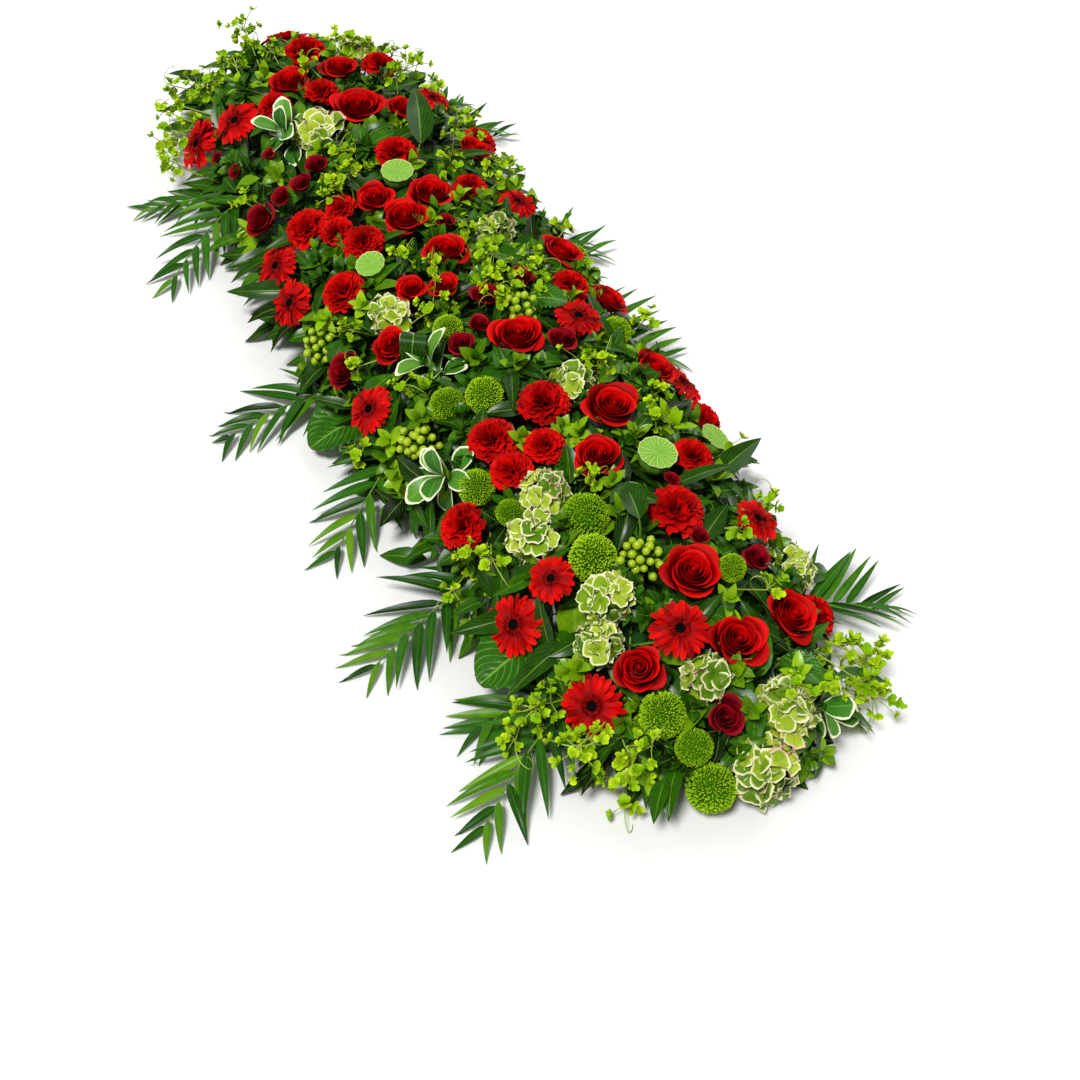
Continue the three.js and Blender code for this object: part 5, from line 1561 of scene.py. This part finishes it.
@dataclass
class Frond:
    """A palm frond: a tapering rib with two rows of long narrow leaflets, each folded along its middle.

    The rib starts on its curve at a part of the way to its bend. Heights, the breadth of a leaflet and the
    limits of y are in mm, and each frond of a node lies over the one before.
    """

    pairs: int = 11
    start: float = 0.3
    root_height: float = 50.0
    bend_height: float = 32.0
    over: float = 28.0
    tip_height: float = 8.0
    breadth: float = 15.0
    limits: Pair = (-430.0, 372.0)

    def grow(self, growth: Growth, hub: Array, plan: tuple[float, float, float, float, float],
             number: int, rng: Chance) -> None:
        """Adds the frond: the rib is a curve of three controls, and leaflets leave it at a falling angle.

        Args:
            growth: The mesh.
            hub: Where the frond leaves the foam.
            plan: Bend x, y, tip x, y and leaflet length.
            number: Which of its node's fronds it is.
            rng: The frond's own chance.
        """
        bend = np.array([plan[0], plan[1], self.bend_height + self.over * number])
        tip = np.array([plan[2], plan[3], self.tip_height])
        first = hub + (bend - hub) * self.start
        t = np.linspace(0, 1, 24)[:, None]
        rib = bow(t, first, bend, tip)
        stalk = np.concatenate([hub + (first - hub) * np.linspace(0, 0.95, 6)[:, None], rib])
        growth.stem(stalk, 2.6, 0.7, 0.6)
        share = np.linspace(0.02, 0.965, self.pairs)
        t = np.concatenate([share, share + 0.025])[:, None]
        way = np.repeat([1.0, -1.0], self.pairs)[:, None]
        base = bow(t, first, bend, tip)
        along = unit(2 * (1 - t) * (bend - first) + 2 * t * (tip - bend))
        left = unit(np.cross([0, 0, 1.0], along))
        length = plan[4] * (0.62 + 0.56 * np.sin(np.pi * (t * 0.86 + 0.12)))
        length = length * rng.uniform(0.88, 1.06, t.shape)
        spread = np.radians(64 - 42 * t + rng.normal(0, 5, t.shape))
        ends = base + length * (way * left * np.sin(spread) + along * np.cos(spread))
        ends[:, 1] = np.clip(ends[:, 1], *self.limits)
        ends[:, 2] += rng.normal(0.42 if hub[1] > 0 else -0.03, 0.1, len(ends)) * length[:, 0]
        lift(ends, 2.5)
        lift(base, 3.0)
        up = unit(np.array([0, 0, 1.0]) - 0.3 * way * left)
        width = self.breadth * (0.6 + 0.4 * np.sin(np.pi * t[:, 0])) * rng.uniform(0.85, 1.1, len(base))
        blades = Leaves(base, ends, up, width, 0.45, rng.uniform(0.0, 0.14, len(base))).blades(0.55, (5, 9))
        lift(blades, 1.2)
        growth.sheets(blades, 0.4, tones_about(rng, 0.45, 0.2, len(base)))


@dataclass
class TwigSpray:
    """Twigs that fork again and again and end in small clusters of lobed yellow-green bracts.

    The spread is the length of a fork, the lesser stem is a lesser twig's length under its fork, and the
    cluster is a bract's length, all in mm.
    """

    planting: Planting
    growth: Growth
    rng: Chance
    forks: int = 7
    lesser_forks: int = 4
    side_forks: int = 3
    spread: float = 43.0
    lesser_spread: float = 22.0
    lesser_stem: float = 45.0
    cluster: float = 8.5
    bracts: int = 7
    buds: int = 8

    def clusters(self, places: Array, facing: Array) -> None:
        """Adds clusters: each is a loose whorl of rounded bracts, cupped, round a knob of tiny buds.

        Args:
            places: Middle of each cluster.
            facing: The way each cluster faces.
        """
        rng, count = self.rng, len(places)
        each = (count, self.bracts, 1, 1)
        basis = frames(facing, rng.uniform(*ANY_TURN, count))
        turn = even_turns(self.bracts)[None, :, None, None]
        turn = turn * 2 + rng.normal(0, 0.3, each)
        u, v = sheet_grid(4, 3)
        s = v * (1 - 0.25 * u ** 2)
        size = rng.uniform(0.55, 1.15, each)
        reach = 0.08 + 0.95 * s * size
        across = 0.50 * u * size * np.sin(np.pi * (0.10 + 0.70 * s)) ** 0.8
        height = rng.uniform(-0.35, 1.1, each) * s ** 1.4 + 0.22 * u ** 2 * s
        local = round_axis(turn, reach, height, across)
        scale = self.cluster * rng.uniform(0.8, 1.15, (count, 1, 1, 1, 1))
        grids = np.einsum("fsabk,fkj->fsabj", local, basis) * scale + places[:, None, None, None]
        self.growth.sheets(grids.reshape(-1, 4, 3, 3), 0.4, np.repeat(rng.uniform(0, 1, count), self.bracts))
        knobs = np.einsum("sk,fkj->fsj", evenly(self.buds, 0.0), basis)
        beads = (places[:, None] + knobs * 0.10 * self.cluster).reshape(-1, 3)
        ends = (places[:, None] + knobs * 0.46 * self.cluster).reshape(-1, 3)
        self.growth.spikes(beads, ends, 0.16 * self.cluster, rng.uniform(0, 0.5, len(beads)), 0)

    def twigs(self, hub: Array, tips: Array) -> None:
        """Adds the main twigs, each with its forks and with side twigs where no head is in the way.

        Args:
            hub: Where the twigs leave the foam.
            tips: Where they end.
        """
        for tip in tips:
            along = unit(unit(tip - hub) + 0.8 * mound_facing(tip[None, :2])[0])
            fork = tip - along * self.spread
            main = self.planting.freest_path(hub, fork, 12)
            self.growth.stem(main, 1.6, 1.0, sides=5)
            self.fork(fork, tip, along, self.forks)
            for place in main[[7, 9, 10]]:
                if self.planting.clear(place[None, None], 1.1)[0]:
                    way = unit(mound_facing(place[None, :2])[0] + self.rng.normal(0, 0.5, 3))
                    self.fork(place, place + way * self.spread * 0.8, way, self.side_forks)

    def lesser_twigs(self, tips: list[Triple]) -> None:
        """Adds lesser twigs, which rise square to the mound among the heads, and a tendril at each.

        A twig that would hang before a head's face is cut down to its top.

        Args:
            tips: Where they end.
        """
        forks, ways = [], []
        for tip in np.array(tips, float):
            facing = unit(mound_facing(tip[None, :2])[0] + self.rng.normal(0, 0.25, 3))
            fork = tip - facing * self.lesser_spread
            foot = fork - facing * self.lesser_stem
            foot[:2] *= 0.93
            foot[2] = max(foot[2], 6.0)
            path = aligned(foot, fork, 5)
            if self.planting.veiled(path[None])[0] > 0:
                path = fork + (path - fork) * 0.3
            self.growth.stem(path, 1.2, 0.9, sides=5)
            self.fork(fork, tip, facing, self.lesser_forks)
            forks.append(fork)
            ways.append(facing)
        if forks:
            self.tendrils(np.array(forks), np.array(ways))

    def fork(self, fork: Array, tip: Array, along: Array, count: int) -> None:
        """Adds the forks of one twig: branchlets fan out of the fork and each ends in a cluster.

        Args:
            fork: Where they part.
            tip: The middle of their ends.
            along: The way the twig goes.
            count: Number of branchlets.
        """
        rng = self.rng
        ways = evenly(count, 0.2)
        basis = frames(along[None], rng.uniform(*ANY_TURN, 1))[0]
        reach = np.linalg.norm(tip - fork)
        ends = fork + (ways @ basis) * (reach * rng.uniform(0.6, 1.15, count))[:, None]
        lift(ends, 7.0)
        bend = fork + 0.55 * along * reach * 0.7
        paths = bow(np.linspace(0, 1, 5)[None, :, None], fork, bend, ends[:, None])
        self.growth.tubes(paths, np.linspace(1.1, 0.65, 5), np.full(count, 0.6), 1, 3)
        facing = unit(ends - bend + np.array([0, 0, 0.5 * reach]))
        near = paths[::2, 3]
        places = np.concatenate([ends, near + rng.normal(0, 2.0, near.shape)])
        self.clusters(places, np.concatenate([facing, facing[::2]]))

    def tendrils(self, roots: Array, facing: Array) -> None:
        """Adds tendrils: thin stems that rise, bow over and curl up at the end.

        The way a tendril goes turns with the square of the length along it, in the plane of its facing and a
        level line, so that its bend grows tighter towards the tip.

        Args:
            roots: Where they leave the twigs.
            facing: The way they rise.
        """
        rng, count = self.rng, len(roots)
        basis = frames(facing, rng.uniform(*ANY_TURN, count))
        t = np.linspace(0, 1, 15)[None, :]
        heading = rng.uniform(0.9, 1.3, (count, 1)) - rng.uniform(3.2, 5.6, (count, 1)) * t ** 2
        step = rng.uniform(46, 78, (count, 1)) / 14
        ahead, rise = np.cumsum(np.cos(heading) * step, 1), np.cumsum(np.sin(heading) * step, 1)
        paths = roots[:, None] + ahead[..., None] * basis[:, None, 0] + rise[..., None] * basis[:, None, 2]
        lift(paths, 3.0)
        self.growth.tubes(paths, np.linspace(0.9, 0.5, 15), np.full(count, 0.7), 1, 3)


@dataclass
class Sprig:
    """A sprig of cream-edged leaves: spoon-shaped leaves in a loose rosette on a short stem, sizes in mm."""

    planting: Planting
    count: int = 9
    climb: float = 26.0
    lengths: Pair = (46, 66)
    widths: Pair = (27, 35)

    def grow(self, growth: Growth, hub: Array, tip: Array, rng: Chance) -> None:
        """Adds the rosette, whose leaves climb its stem on even directions, and the stem.

        Args:
            growth: The mesh.
            hub: Where the stem leaves the foam.
            tip: Middle of the rosette.
            rng: The node's own chance.
        """
        count, facing = self.count, mound_facing(tip[None, :2])
        along = unit(unit(tip - hub) + facing[0])
        ways = evenly(count, 0.05) @ frames(along[None], rng.uniform(*ANY_TURN, 1))[0]
        base = tip - along * (self.climb * np.arange(count) / count)[:, None] + ways * 3
        ends = base + ways * rng.uniform(*self.lengths, count)[:, None]
        lift(ends, 5.0)
        up = unit(along + 1.2 * facing + 0.2 * rng.normal(0, 1, (count, 3)))
        width, curl = rng.uniform(*self.widths, count), rng.uniform(0.05, 0.25, count)
        blades = Leaves(base, ends, up, width, 0.30, curl).spoons()
        growth.sheets(blades, 0.6, tones_about(rng, 0.5, 0.2, count))
        growth.stem(self.planting.freest_path(hub, tip, 12), 2.2, 1.4)


@dataclass(frozen=True)
class Layer:
    """A layer of leaves: how many, their least and greatest length, width and depth of foot, in mm, and tone.

    It stays out of a share of each head's radius, and each leaf has its rows of points across and along.
    """

    count: int
    lengths: Pair
    widths: Pair
    depths: Pair
    share: float
    tone: float
    rows: Counts


@dataclass(frozen=True)
class Tips:
    """A set of leafy tips: how many, their least and greatest depth below the mound, in mm, and tone.

    Each has a whorl of leaves, which climbs its stalk. The leaves' least and greatest length and width, the
    climb and the stalk are in mm.
    """

    count: int
    depths: Pair
    tone: float
    whorl: int = 8
    lengths: Pair = (20, 34)
    widths: Pair = (12, 19)
    climb: float = 24.0
    stalk: float = 55.0


@dataclass(frozen=True)
class Skirt:
    """The low leaves at a branch's edge: how many on the left and right, and sizes in mm.

    They have a least and greatest length, width and height of foot. They stand so far along the branch on
    either side of its middle, and a share of an end branch's leaves stands between the x of the ends.
    """

    counts: Counts = (46, 28)
    lengths: Pair = (46, 80)
    widths: Pair = (18, 30)
    heights: Pair = (18, 70)
    along: float = 235.0
    share: float = 0.3
    ends: Pair = (690, 850)
    limit: float = 905.0


# The broad leaves that hide the foam, the leaves between the heads, and the two kinds of tips; the
# broad leaves lie deep under the heads, and their low tone is a painted shade
SHADED_UNDER_LAYER = Layer(105, (80, 118), (36, 52), (52, 78), 0.35, 0.12, (3, 6))
UPPER_LAYER = Layer(84, (42, 78), (18, 32), (10, 34), 0.88, 0.33, (5, 6))
GREEN_TIPS, FRESH_TIPS = Tips(34, (8, 30), 0.47), Tips(14, (0, 12), 0.78)


@dataclass
class LeafyBranch:
    """A leafy branch: planned leaves, layers that hide the foam, tips between the heads and a low skirt.

    It lies about its middle x on one side of the spray, a sign of y. Its stem's height and the x and y where
    its leaves end are in mm.
    """

    planting: Planting
    growth: Growth
    rng: Chance
    middle: float
    side: int
    stem_height: float = 97.0
    ends: Pair = (915.0, 300.0)

    def grow(self, node: str) -> None:
        """Adds the leaves and stems of the branch.

        Args:
            node: The node that it replaces.
        """
        for plan in BROAD[node]:
            self.broad_leaf(*plan)
        for plan in ROLLED.get(node, []):
            self.rolled_leaf(*plan)
        self.layer(SHADED_UNDER_LAYER)
        self.layer(UPPER_LAYER)
        self.tips(GREEN_TIPS)
        self.tips(FRESH_TIPS)
        self.skirt(Skirt())
        x, y, high = self.middle, self.side * (FOAM_HALF[1] + 13), self.stem_height
        self.growth.stem(np.array([[x + step, y, high] for step in (-205, -100, 0, 100, 205)]), 2.2, 2.2)
        self.growth.stem(np.array([[x, y, z] for z in (high - 29, high - 17, high + 1)]), 2.2, 2.2)
        root(self.growth, np.array([x, self.side * (FOAM_HALF[1] + HUB_REACH), 70.0]))

    def broad_leaf(self, x: float, y: float, z: float, length: float, width: float, heading: float) -> None:
        """Adds a broad or strap-shaped leaf with its stalk; one that is nearly round is an oval with ribs.

        Args:
            x: Place of its middle along the spray.
            y: The same across it.
            z: Its height.
            length: Its length.
            width: Its width.
            heading: Where it points, in degrees.
        """
        turn = math.radians(heading)
        reach = np.array([math.cos(turn), math.sin(turn), 0.12 if y > 0 else -0.12]) * length / 2
        middle = np.array([x, y, z], float)
        base, tip = (middle - reach)[None], (middle + reach)[None]
        up = mound_facing(middle[None, :2])
        curl = np.array([0.08])
        if width > 0.6 * length:
            blades = Leaves(base, tip, up, np.array([width * 1.1]), 0.25, curl).blades(0.8, (15, 41), 9, 0.5)
            tone, slot = 0.38, 2
        else:
            blades = Leaves(base, tip, up, np.array([width]), 0.4, curl).blades(0.6, (9, 13))
            tone, slot = 0.24, 0
        lift(blades, 3.0)
        self.growth.sheets(blades, 0.7, np.array([tone]), slot)
        foot = base[0] * [1, 0.75, 1] - [0, 0, 45]
        foot[2] = max(foot[2], 20)
        stalk = np.stack([foot, (foot + base[0]) / 2 + [0, 0, 5], base[0] + reach * 0.06])
        self.growth.tubes(stalk[None], np.array([1.8, 1.6, 1.3]), np.array([0.5]), 1, 6)

    def rolled_leaf(self, place: Triple, radius: float, width: float, heading: float) -> None:
        """Adds a strap leaf that is bent over into a loop: a band carried round an arc, then straight down.

        Args:
            place: Middle of the loop.
            radius: Radius of the loop.
            width: Width of the strap.
            heading: Where the loop's front looks, in degrees.
        """
        ahead = np.array([math.cos(math.radians(heading)), math.sin(math.radians(heading)), 0.0])
        side = np.array([-ahead[1], ahead[0], 0.0])
        angle = np.linspace(-0.7, 3.3, 16)[None, :, None]
        u = np.linspace(-1, 1, 5)[:, None, None]
        down = np.maximum(angle - np.pi * 0.9, 0) * radius * 2.2
        path = radius * (-np.cos(angle) * ahead + np.sin(angle) * np.array([0, 0, 1.15]))
        path = path - down * [0, 0, 1.0]
        band = np.array(place) + path + u * side * width / 2 * (0.75 + 0.25 * np.sin(angle * 0.8))
        self.growth.sheets(band[None, ::-1], 0.7, np.array([0.2]))

    def layer(self, layer: Layer) -> None:
        """Adds a layer of leaves over the branch's stretch of the mound, at seeded places clear of the heads.

        A leaf's foot lies below the mound, and its blade leaves it any way round, a little upwards.

        Args:
            layer: The layer's numbers.
        """
        rng, tries = self.rng, layer.count * 12
        xy = self.scatter(tries)
        facing = mound_facing(xy)
        length = rng.uniform(*layer.lengths, tries)
        turn = rng.uniform(*ANY_TURN, tries)
        level = np.cross(facing, [0, 0, 1.0])
        flat = unit(level * np.cos(turn)[:, None] + np.cross(facing, level) * np.sin(turn)[:, None])
        way = unit(flat + facing * rng.uniform(0.1, 0.55, tries)[:, None])
        base = on_mound(xy) - facing * rng.uniform(*layer.depths, tries)[:, None]
        base = base - way * (0.35 * length)[:, None]
        tip = base + way * length[:, None]
        lift(base, 8)
        lift(tip, 5)
        probes = base[:, None] + (tip - base)[:, None] * np.linspace(0.15, 1, 5)[None, :, None]
        inside = (np.abs(tip[:, :2]) < self.ends).all(axis=1)
        picked = np.flatnonzero(self.planting.clear(probes, layer.share) & inside)[:layer.count]
        up = unit(facing[picked] + rng.normal(0, 0.25, (len(picked), 3)))
        width, curl = rng.uniform(*layer.widths, len(picked)), rng.uniform(0.0, 0.16, len(picked))
        leaves = Leaves(base[picked], tip[picked], up, width, 0.35, curl)
        blades = leaves.blades(rng.uniform(0.6, 0.8), layer.rows)
        lift(blades, 2.0)
        self.growth.sheets(blades, 0.45, tones_about(rng, layer.tone, 0.18, len(picked)))

    def tips(self, tips: Tips) -> None:
        """Adds leafy tips between the heads: short stems with small oval leaves in turns about them.

        Args:
            tips: The tips' numbers.
        """
        rng, leaves = self.rng, tips.whorl
        xy = self.scatter(tips.count * 20)
        facing = mound_facing(xy)
        tip = on_mound(xy) - facing * rng.uniform(*tips.depths, len(xy))[:, None]
        probes = tip[:, None] + facing[:, None] * np.array([-12, 6, 18.0])[None, :, None]
        picked = np.flatnonzero(self.planting.clear(probes, 1.06))[:tips.count]
        tip, along = tip[picked], unit(facing[picked] + rng.normal(0, 0.2, (len(picked), 3)))
        basis = frames(along, rng.uniform(*ANY_TURN, len(tip)))
        spread = np.einsum("sk,fkj->fsj", evenly(leaves, 0.1), basis)
        steps = np.linspace(0, tips.climb, leaves)[None, :, None]
        base = tip[:, None] - along[:, None] * steps + spread * 1.5
        length = rng.uniform(*tips.lengths, (len(tip), leaves, 1)) * (0.75 + 0.4 * steps / tips.climb)
        ends = base + spread * length
        base, ends = base.reshape(-1, 3), ends.reshape(-1, 3)
        lift(base, 6)
        lift(ends, 4)
        up = np.repeat(along, leaves, axis=0) + rng.normal(0, 0.15, (len(base), 3))
        width, curl = rng.uniform(*tips.widths, len(base)), rng.uniform(0, 0.2, len(base))
        blades = Leaves(base, ends, up, width, 0.3, curl).blades(0.85, (3, 6), 0.0, 0.6)
        lift(blades, 2.0)
        own = np.repeat(rng.normal(tips.tone, 0.16, len(tip)), leaves)
        self.growth.sheets(blades, 0.45, np.clip(own + rng.normal(0, 0.06, len(own)), 0, 1))
        foot = tip - along * tips.stalk
        lift(foot, 6)
        t = np.linspace(0, 1, 5)[None, :, None]
        stalks = foot[:, None] * (1 - t) + tip[:, None] * t
        self.growth.tubes(stalks, np.linspace(1.3, 0.8, 5), np.full(len(tip), 0.5), 1, 5)

    def scatter(self, count: int) -> Array:
        """Scatters places over the branch's stretch of the mound; the end branches cover its ends too.

        Args:
            count: Number of places.

        Returns:
            Places x, y.
        """
        inner, outer = STRETCH if abs(self.middle) < MIDDLE_REACH else END_STRETCH
        x = self.middle + self._outwards() * self.rng.uniform(inner, outer, count)
        share = self.side * self.rng.uniform(-0.03, 1, count)
        return np.stack([x, share * mound_edge(x, 0.98, 0.02)], -1)

    def _outwards(self) -> float:
        """Returns the sign of x towards the mound's end, or one in the middle."""
        return math.copysign(1, self.middle) if abs(self.middle) > MIDDLE_REACH else 1.0

    def skirt(self, skirt: Skirt) -> None:
        """Adds the low leaves at the mound's edge, which point out and down to where the spray lies.

        Args:
            skirt: The skirt's numbers.
        """
        rng, side = self.rng, self.side
        count = skirt.counts[side > 0]
        x = self.middle + rng.uniform(-skirt.along, skirt.along, count)
        at_end = (abs(self.middle) > MIDDLE_REACH) & (rng.random(count) < skirt.share)
        x = np.where(at_end, self._outwards() * rng.uniform(*skirt.ends, count), x)
        y = side * mound_edge(x, 1, 0.01) * rng.uniform(0.62, 0.92, count)
        base = np.stack([x, y, rng.uniform(*skirt.heights, count)], -1)
        out = np.stack([0.9 * (x / MOUND_LENGTH) ** 3 + rng.normal(0, 0.35, count),
                        side * np.ones(count), rng.normal(-0.15, 0.15, count)], -1)
        tip = base + unit(out) * rng.uniform(*skirt.lengths, count)[:, None]
        lift(tip, 5)
        probes = base[:, None] + (tip - base)[:, None] * np.linspace(0.3, 1, 4)[None, :, None]
        good = self.planting.clear(probes, 0.9) & (np.abs(tip[:, 0]) < skirt.limit)
        up = unit(np.stack([np.zeros(count), 0.4 * side * np.ones(count), np.ones(count)], -1)
                  + rng.normal(0, 0.2, (count, 3)))
        width, curl = rng.uniform(*skirt.widths, good.sum()), rng.uniform(0.04, 0.2, good.sum())
        blades = Leaves(base[good], tip[good], up[good], width, 0.3, curl).blades(0.7, (4, 6))
        lift(blades, 2.0)
        self.growth.sheets(blades, 0.45, tones_about(rng, 0.35, 0.2, good.sum()))


class Spray:
    """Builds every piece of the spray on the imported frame; its seeds start each kind of greenery's chance."""

    frond_seed, twig_seed, sprig_seed, branch_seed = 500, 600, 700, 800

    def __init__(self) -> None:
        """Places the heads and says what each form is made of."""
        self.planting = Planting()
        bud = Rose(12, 110.0, 50.0, 0.68, 0.11, 0.28, (7, 6))
        self.heads = {
            Form.ROSE: (Rose(), ["rose", "calyx"], "rose_petals"),
            Form.SMALL_ROSE: (bud, ["small_rose", "calyx"], "dark_red_petals"),
            Form.CARNATION: (Carnation(), ["carnation", "calyx"], "carnation_petals"),
            Form.GERBERA: (Gerbera(), ["gerbera", "calyx", "gerbera_disc"], "gerbera_petals"),
            Form.BALL: (GreenBall(), ["ball", "calyx", "ball_core"], "lime_heads"),
            Form.HYDRANGEA: (Hydrangea(), ["hydrangea", "calyx"], "hydrangea_florets"),
            Form.POD: (SeedPod(), ["pod", "calyx", "lid"], "seed_pods"),
            Form.BERRIES: (BerryBunch(), ["berry", "calyx"], "berries"),
        }

    def bunches(self) -> None:
        """Builds the bunches of heads with their stems."""
        for bunch, heads in self.planting.bunches.items():
            form = heads[0].form
            kind, finishes, slot = self.heads[form]
            growth = Growth()
            for head in heads:
                kind.grow(growth, head)
            feet = np.array([head.put(np.array([0, 0, FOOT[form] + 0.03])) for head in heads])
            facing = np.array([head.basis[2] for head in heads])
            hub = hub_of(bunch)
            stems(growth, hub, feet, facing)
            root(growth, hub)
            growth.piece(f"{bunch}_blooms", finishes, slot, [bunch])

    def fronds(self) -> None:
        """Builds the palm fronds."""
        for seed, (node, (x, side, plans)) in enumerate(FRONDS.items(), self.frond_seed):
            rng, growth, frond = np.random.default_rng(seed), Growth(), Frond()
            hub = np.array([x, side * (FOAM_HALF[1] + HUB_REACH), frond.root_height])
            for i, plan in enumerate(plans):
                frond.grow(growth, hub, plan, i, rng)
            root(growth, hub)
            growth.piece(f"{node}_leaflets", ["palm", "stem"], "palm_leaflets", [node])

    def twigs(self) -> None:
        """Builds the twig sprays; each lesser twig joins the spray whose hub is nearest."""
        hubs = {node: hub_of(node) for node in TWIGS}
        lesser: dict[str, list[Triple]] = {node: [] for node in TWIGS}
        for place in SMALL_TWIGS:
            nearest = min(hubs, key=lambda node: float(np.linalg.norm(hubs[node] - place)))
            lesser[nearest].append(place)
        for seed, (node, tips) in enumerate(TWIGS.items(), self.twig_seed):
            growth = Growth()
            spray = TwigSpray(self.planting, growth, np.random.default_rng(seed))
            spray.twigs(hubs[node], np.array([near_points(node, np.array(tip, float), 55) for tip in tips]))
            spray.lesser_twigs(lesser[node])
            root(growth, hubs[node])
            growth.piece(f"{node}_clusters", ["twig", "twig_stem"], "twig_clusters", [node])

    def sprigs(self) -> None:
        """Builds the cream-edged sprigs."""
        for seed, (node, middles) in enumerate(SPRIGS.items(), self.sprig_seed):
            rng, growth, hub = np.random.default_rng(seed), Growth(), hub_of(node)
            for middle in middles:
                Sprig(self.planting).grow(growth, hub, near_points(node, np.array(middle, float), 50), rng)
            root(growth, hub)
            growth.piece(f"{node}_leaves", ["edged_leaf", "stem"], "edged_leaves", [node])

    def foliage(self) -> None:
        """Builds the leafy branches."""
        for seed, (node, (x, side)) in enumerate(BRANCHES.items(), self.branch_seed):
            growth = Growth()
            LeafyBranch(self.planting, growth, np.random.default_rng(seed), x, side).grow(node)
            growth.piece(f"{node}_leaves", ["leaf", "stem", "ribbed_leaf"], "green_leaves", [node])

    def holder(self) -> None:
        """Gives the tray and the foam their finishes."""
        for node, finish in [("holder_tray", "tray"), ("foam_far", "foam"), ("foam_middle", "foam"),
                             ("foam_near", "foam")]:
            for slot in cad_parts[node].material_slots:
                slot.material = MATERIALS[finish]


@dataclass
class Studio:
    """The pale floor, the soft light and the camera at the photograph's angle.

    The floor's reach is in metres and the sky is its strength. The camera has its lens in mm, its place in
    metres, and the ways that its right side and its back look.
    """

    reach: float = 40.0
    sky: float = 0.26
    lens: float = 56.63
    place: Triple = (1.79913, -0.96315, 1.75333)
    right: Triple = (0.44394, 0.89072, 0.09764)
    back: Triple = (0.58552, -0.37085, 0.72085)

    def floor(self) -> None:
        """Adds a plain pale floor just under the tray."""
        mesh = bpy.data.meshes.new("floor")
        corners = [(x * self.reach, y * self.reach, -0.001) for x, y in ((-1, -1), (1, -1), (1, 1), (-1, 1))]
        mesh.from_pydata(corners, [], [(0, 1, 2, 3)])
        material, tree, shader = new_material("studio_floor")
        set_inputs(tree, shader, {"Base Color": linear("#F4F4F2"), "Roughness": 0.9})
        mesh.materials.append(material)
        floor = bpy.data.objects.new("floor", mesh)
        bpy.context.scene.collection.objects.link(floor)
        floor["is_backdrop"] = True

    def light(self, name: str, way: Triple, spread: float, power: float) -> None:
        """Adds a far, broad light, like a large soft box.

        Args:
            name: The light's name.
            way: Where it shines from.
            spread: How broad it looks from the spray, in degrees.
            power: Its strength.
        """
        data = bpy.data.lights.new(name, "SUN")
        data.angle = math.radians(spread)
        data.energy = power
        lamp = bpy.data.objects.new(name, data)
        third = unit(np.array(way, float))
        side = unit(np.cross([0.0, 1.0, 0.001], third))
        matrix = np.eye(4)
        matrix[:3, :3] = np.stack([side, np.cross(third, side), third], 1)
        lamp.matrix_world = Matrix(matrix.tolist())
        bpy.context.scene.collection.objects.link(lamp)

    def camera(self) -> None:
        """Adds the camera: a long lens above the near left side, rolled a little, as the photograph shows."""
        data = bpy.data.cameras.new("camera")
        data.lens = self.lens
        data.sensor_width = 36.0
        camera = bpy.data.objects.new("camera", data)
        right, back = unit(np.array([self.right, self.back]))
        matrix = np.eye(4)
        matrix[:3] = np.stack([right, np.cross(back, right), back, self.place], 1)
        camera.matrix_world = Matrix(matrix.tolist())
        bpy.context.scene.collection.objects.link(camera)
        bpy.context.scene.camera = camera

    def build(self) -> None:
        """Adds all of the studio."""
        world = bpy.data.worlds.new("studio")
        world.use_nodes = True
        background = world.node_tree.nodes["Background"]
        set_inputs(world.node_tree, background, {"Color": linear("#FFFFFF"), "Strength": self.sky})
        bpy.context.scene.world = world
        bpy.context.scene.view_settings.view_transform = "Standard"
        self.floor()
        self.light("key", (0.5, -0.9, 1.7), 14.0, 3.0)
        self.light("fill", (-0.9, 1.1, 1.3), 50.0, 0.9)
        self.camera()


def main() -> None:
    """Builds the finishes, the studio and every piece."""
    logging.basicConfig(level=logging.INFO)
    MATERIALS.update({key: finish.make() for key, finish in FINISHES.items()})
    Studio().build()
    spray = Spray()
    spray.bunches()
    spray.fronds()
    spray.twigs()
    spray.sprigs()
    spray.foliage()
    spray.holder()
    total = sum(sum(len(face.vertices) - 2 for face in piece.data.polygons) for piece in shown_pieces())
    LOG.info("whole spray: %d triangles", total)
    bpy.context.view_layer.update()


if __name__ == "__main__":
    main()
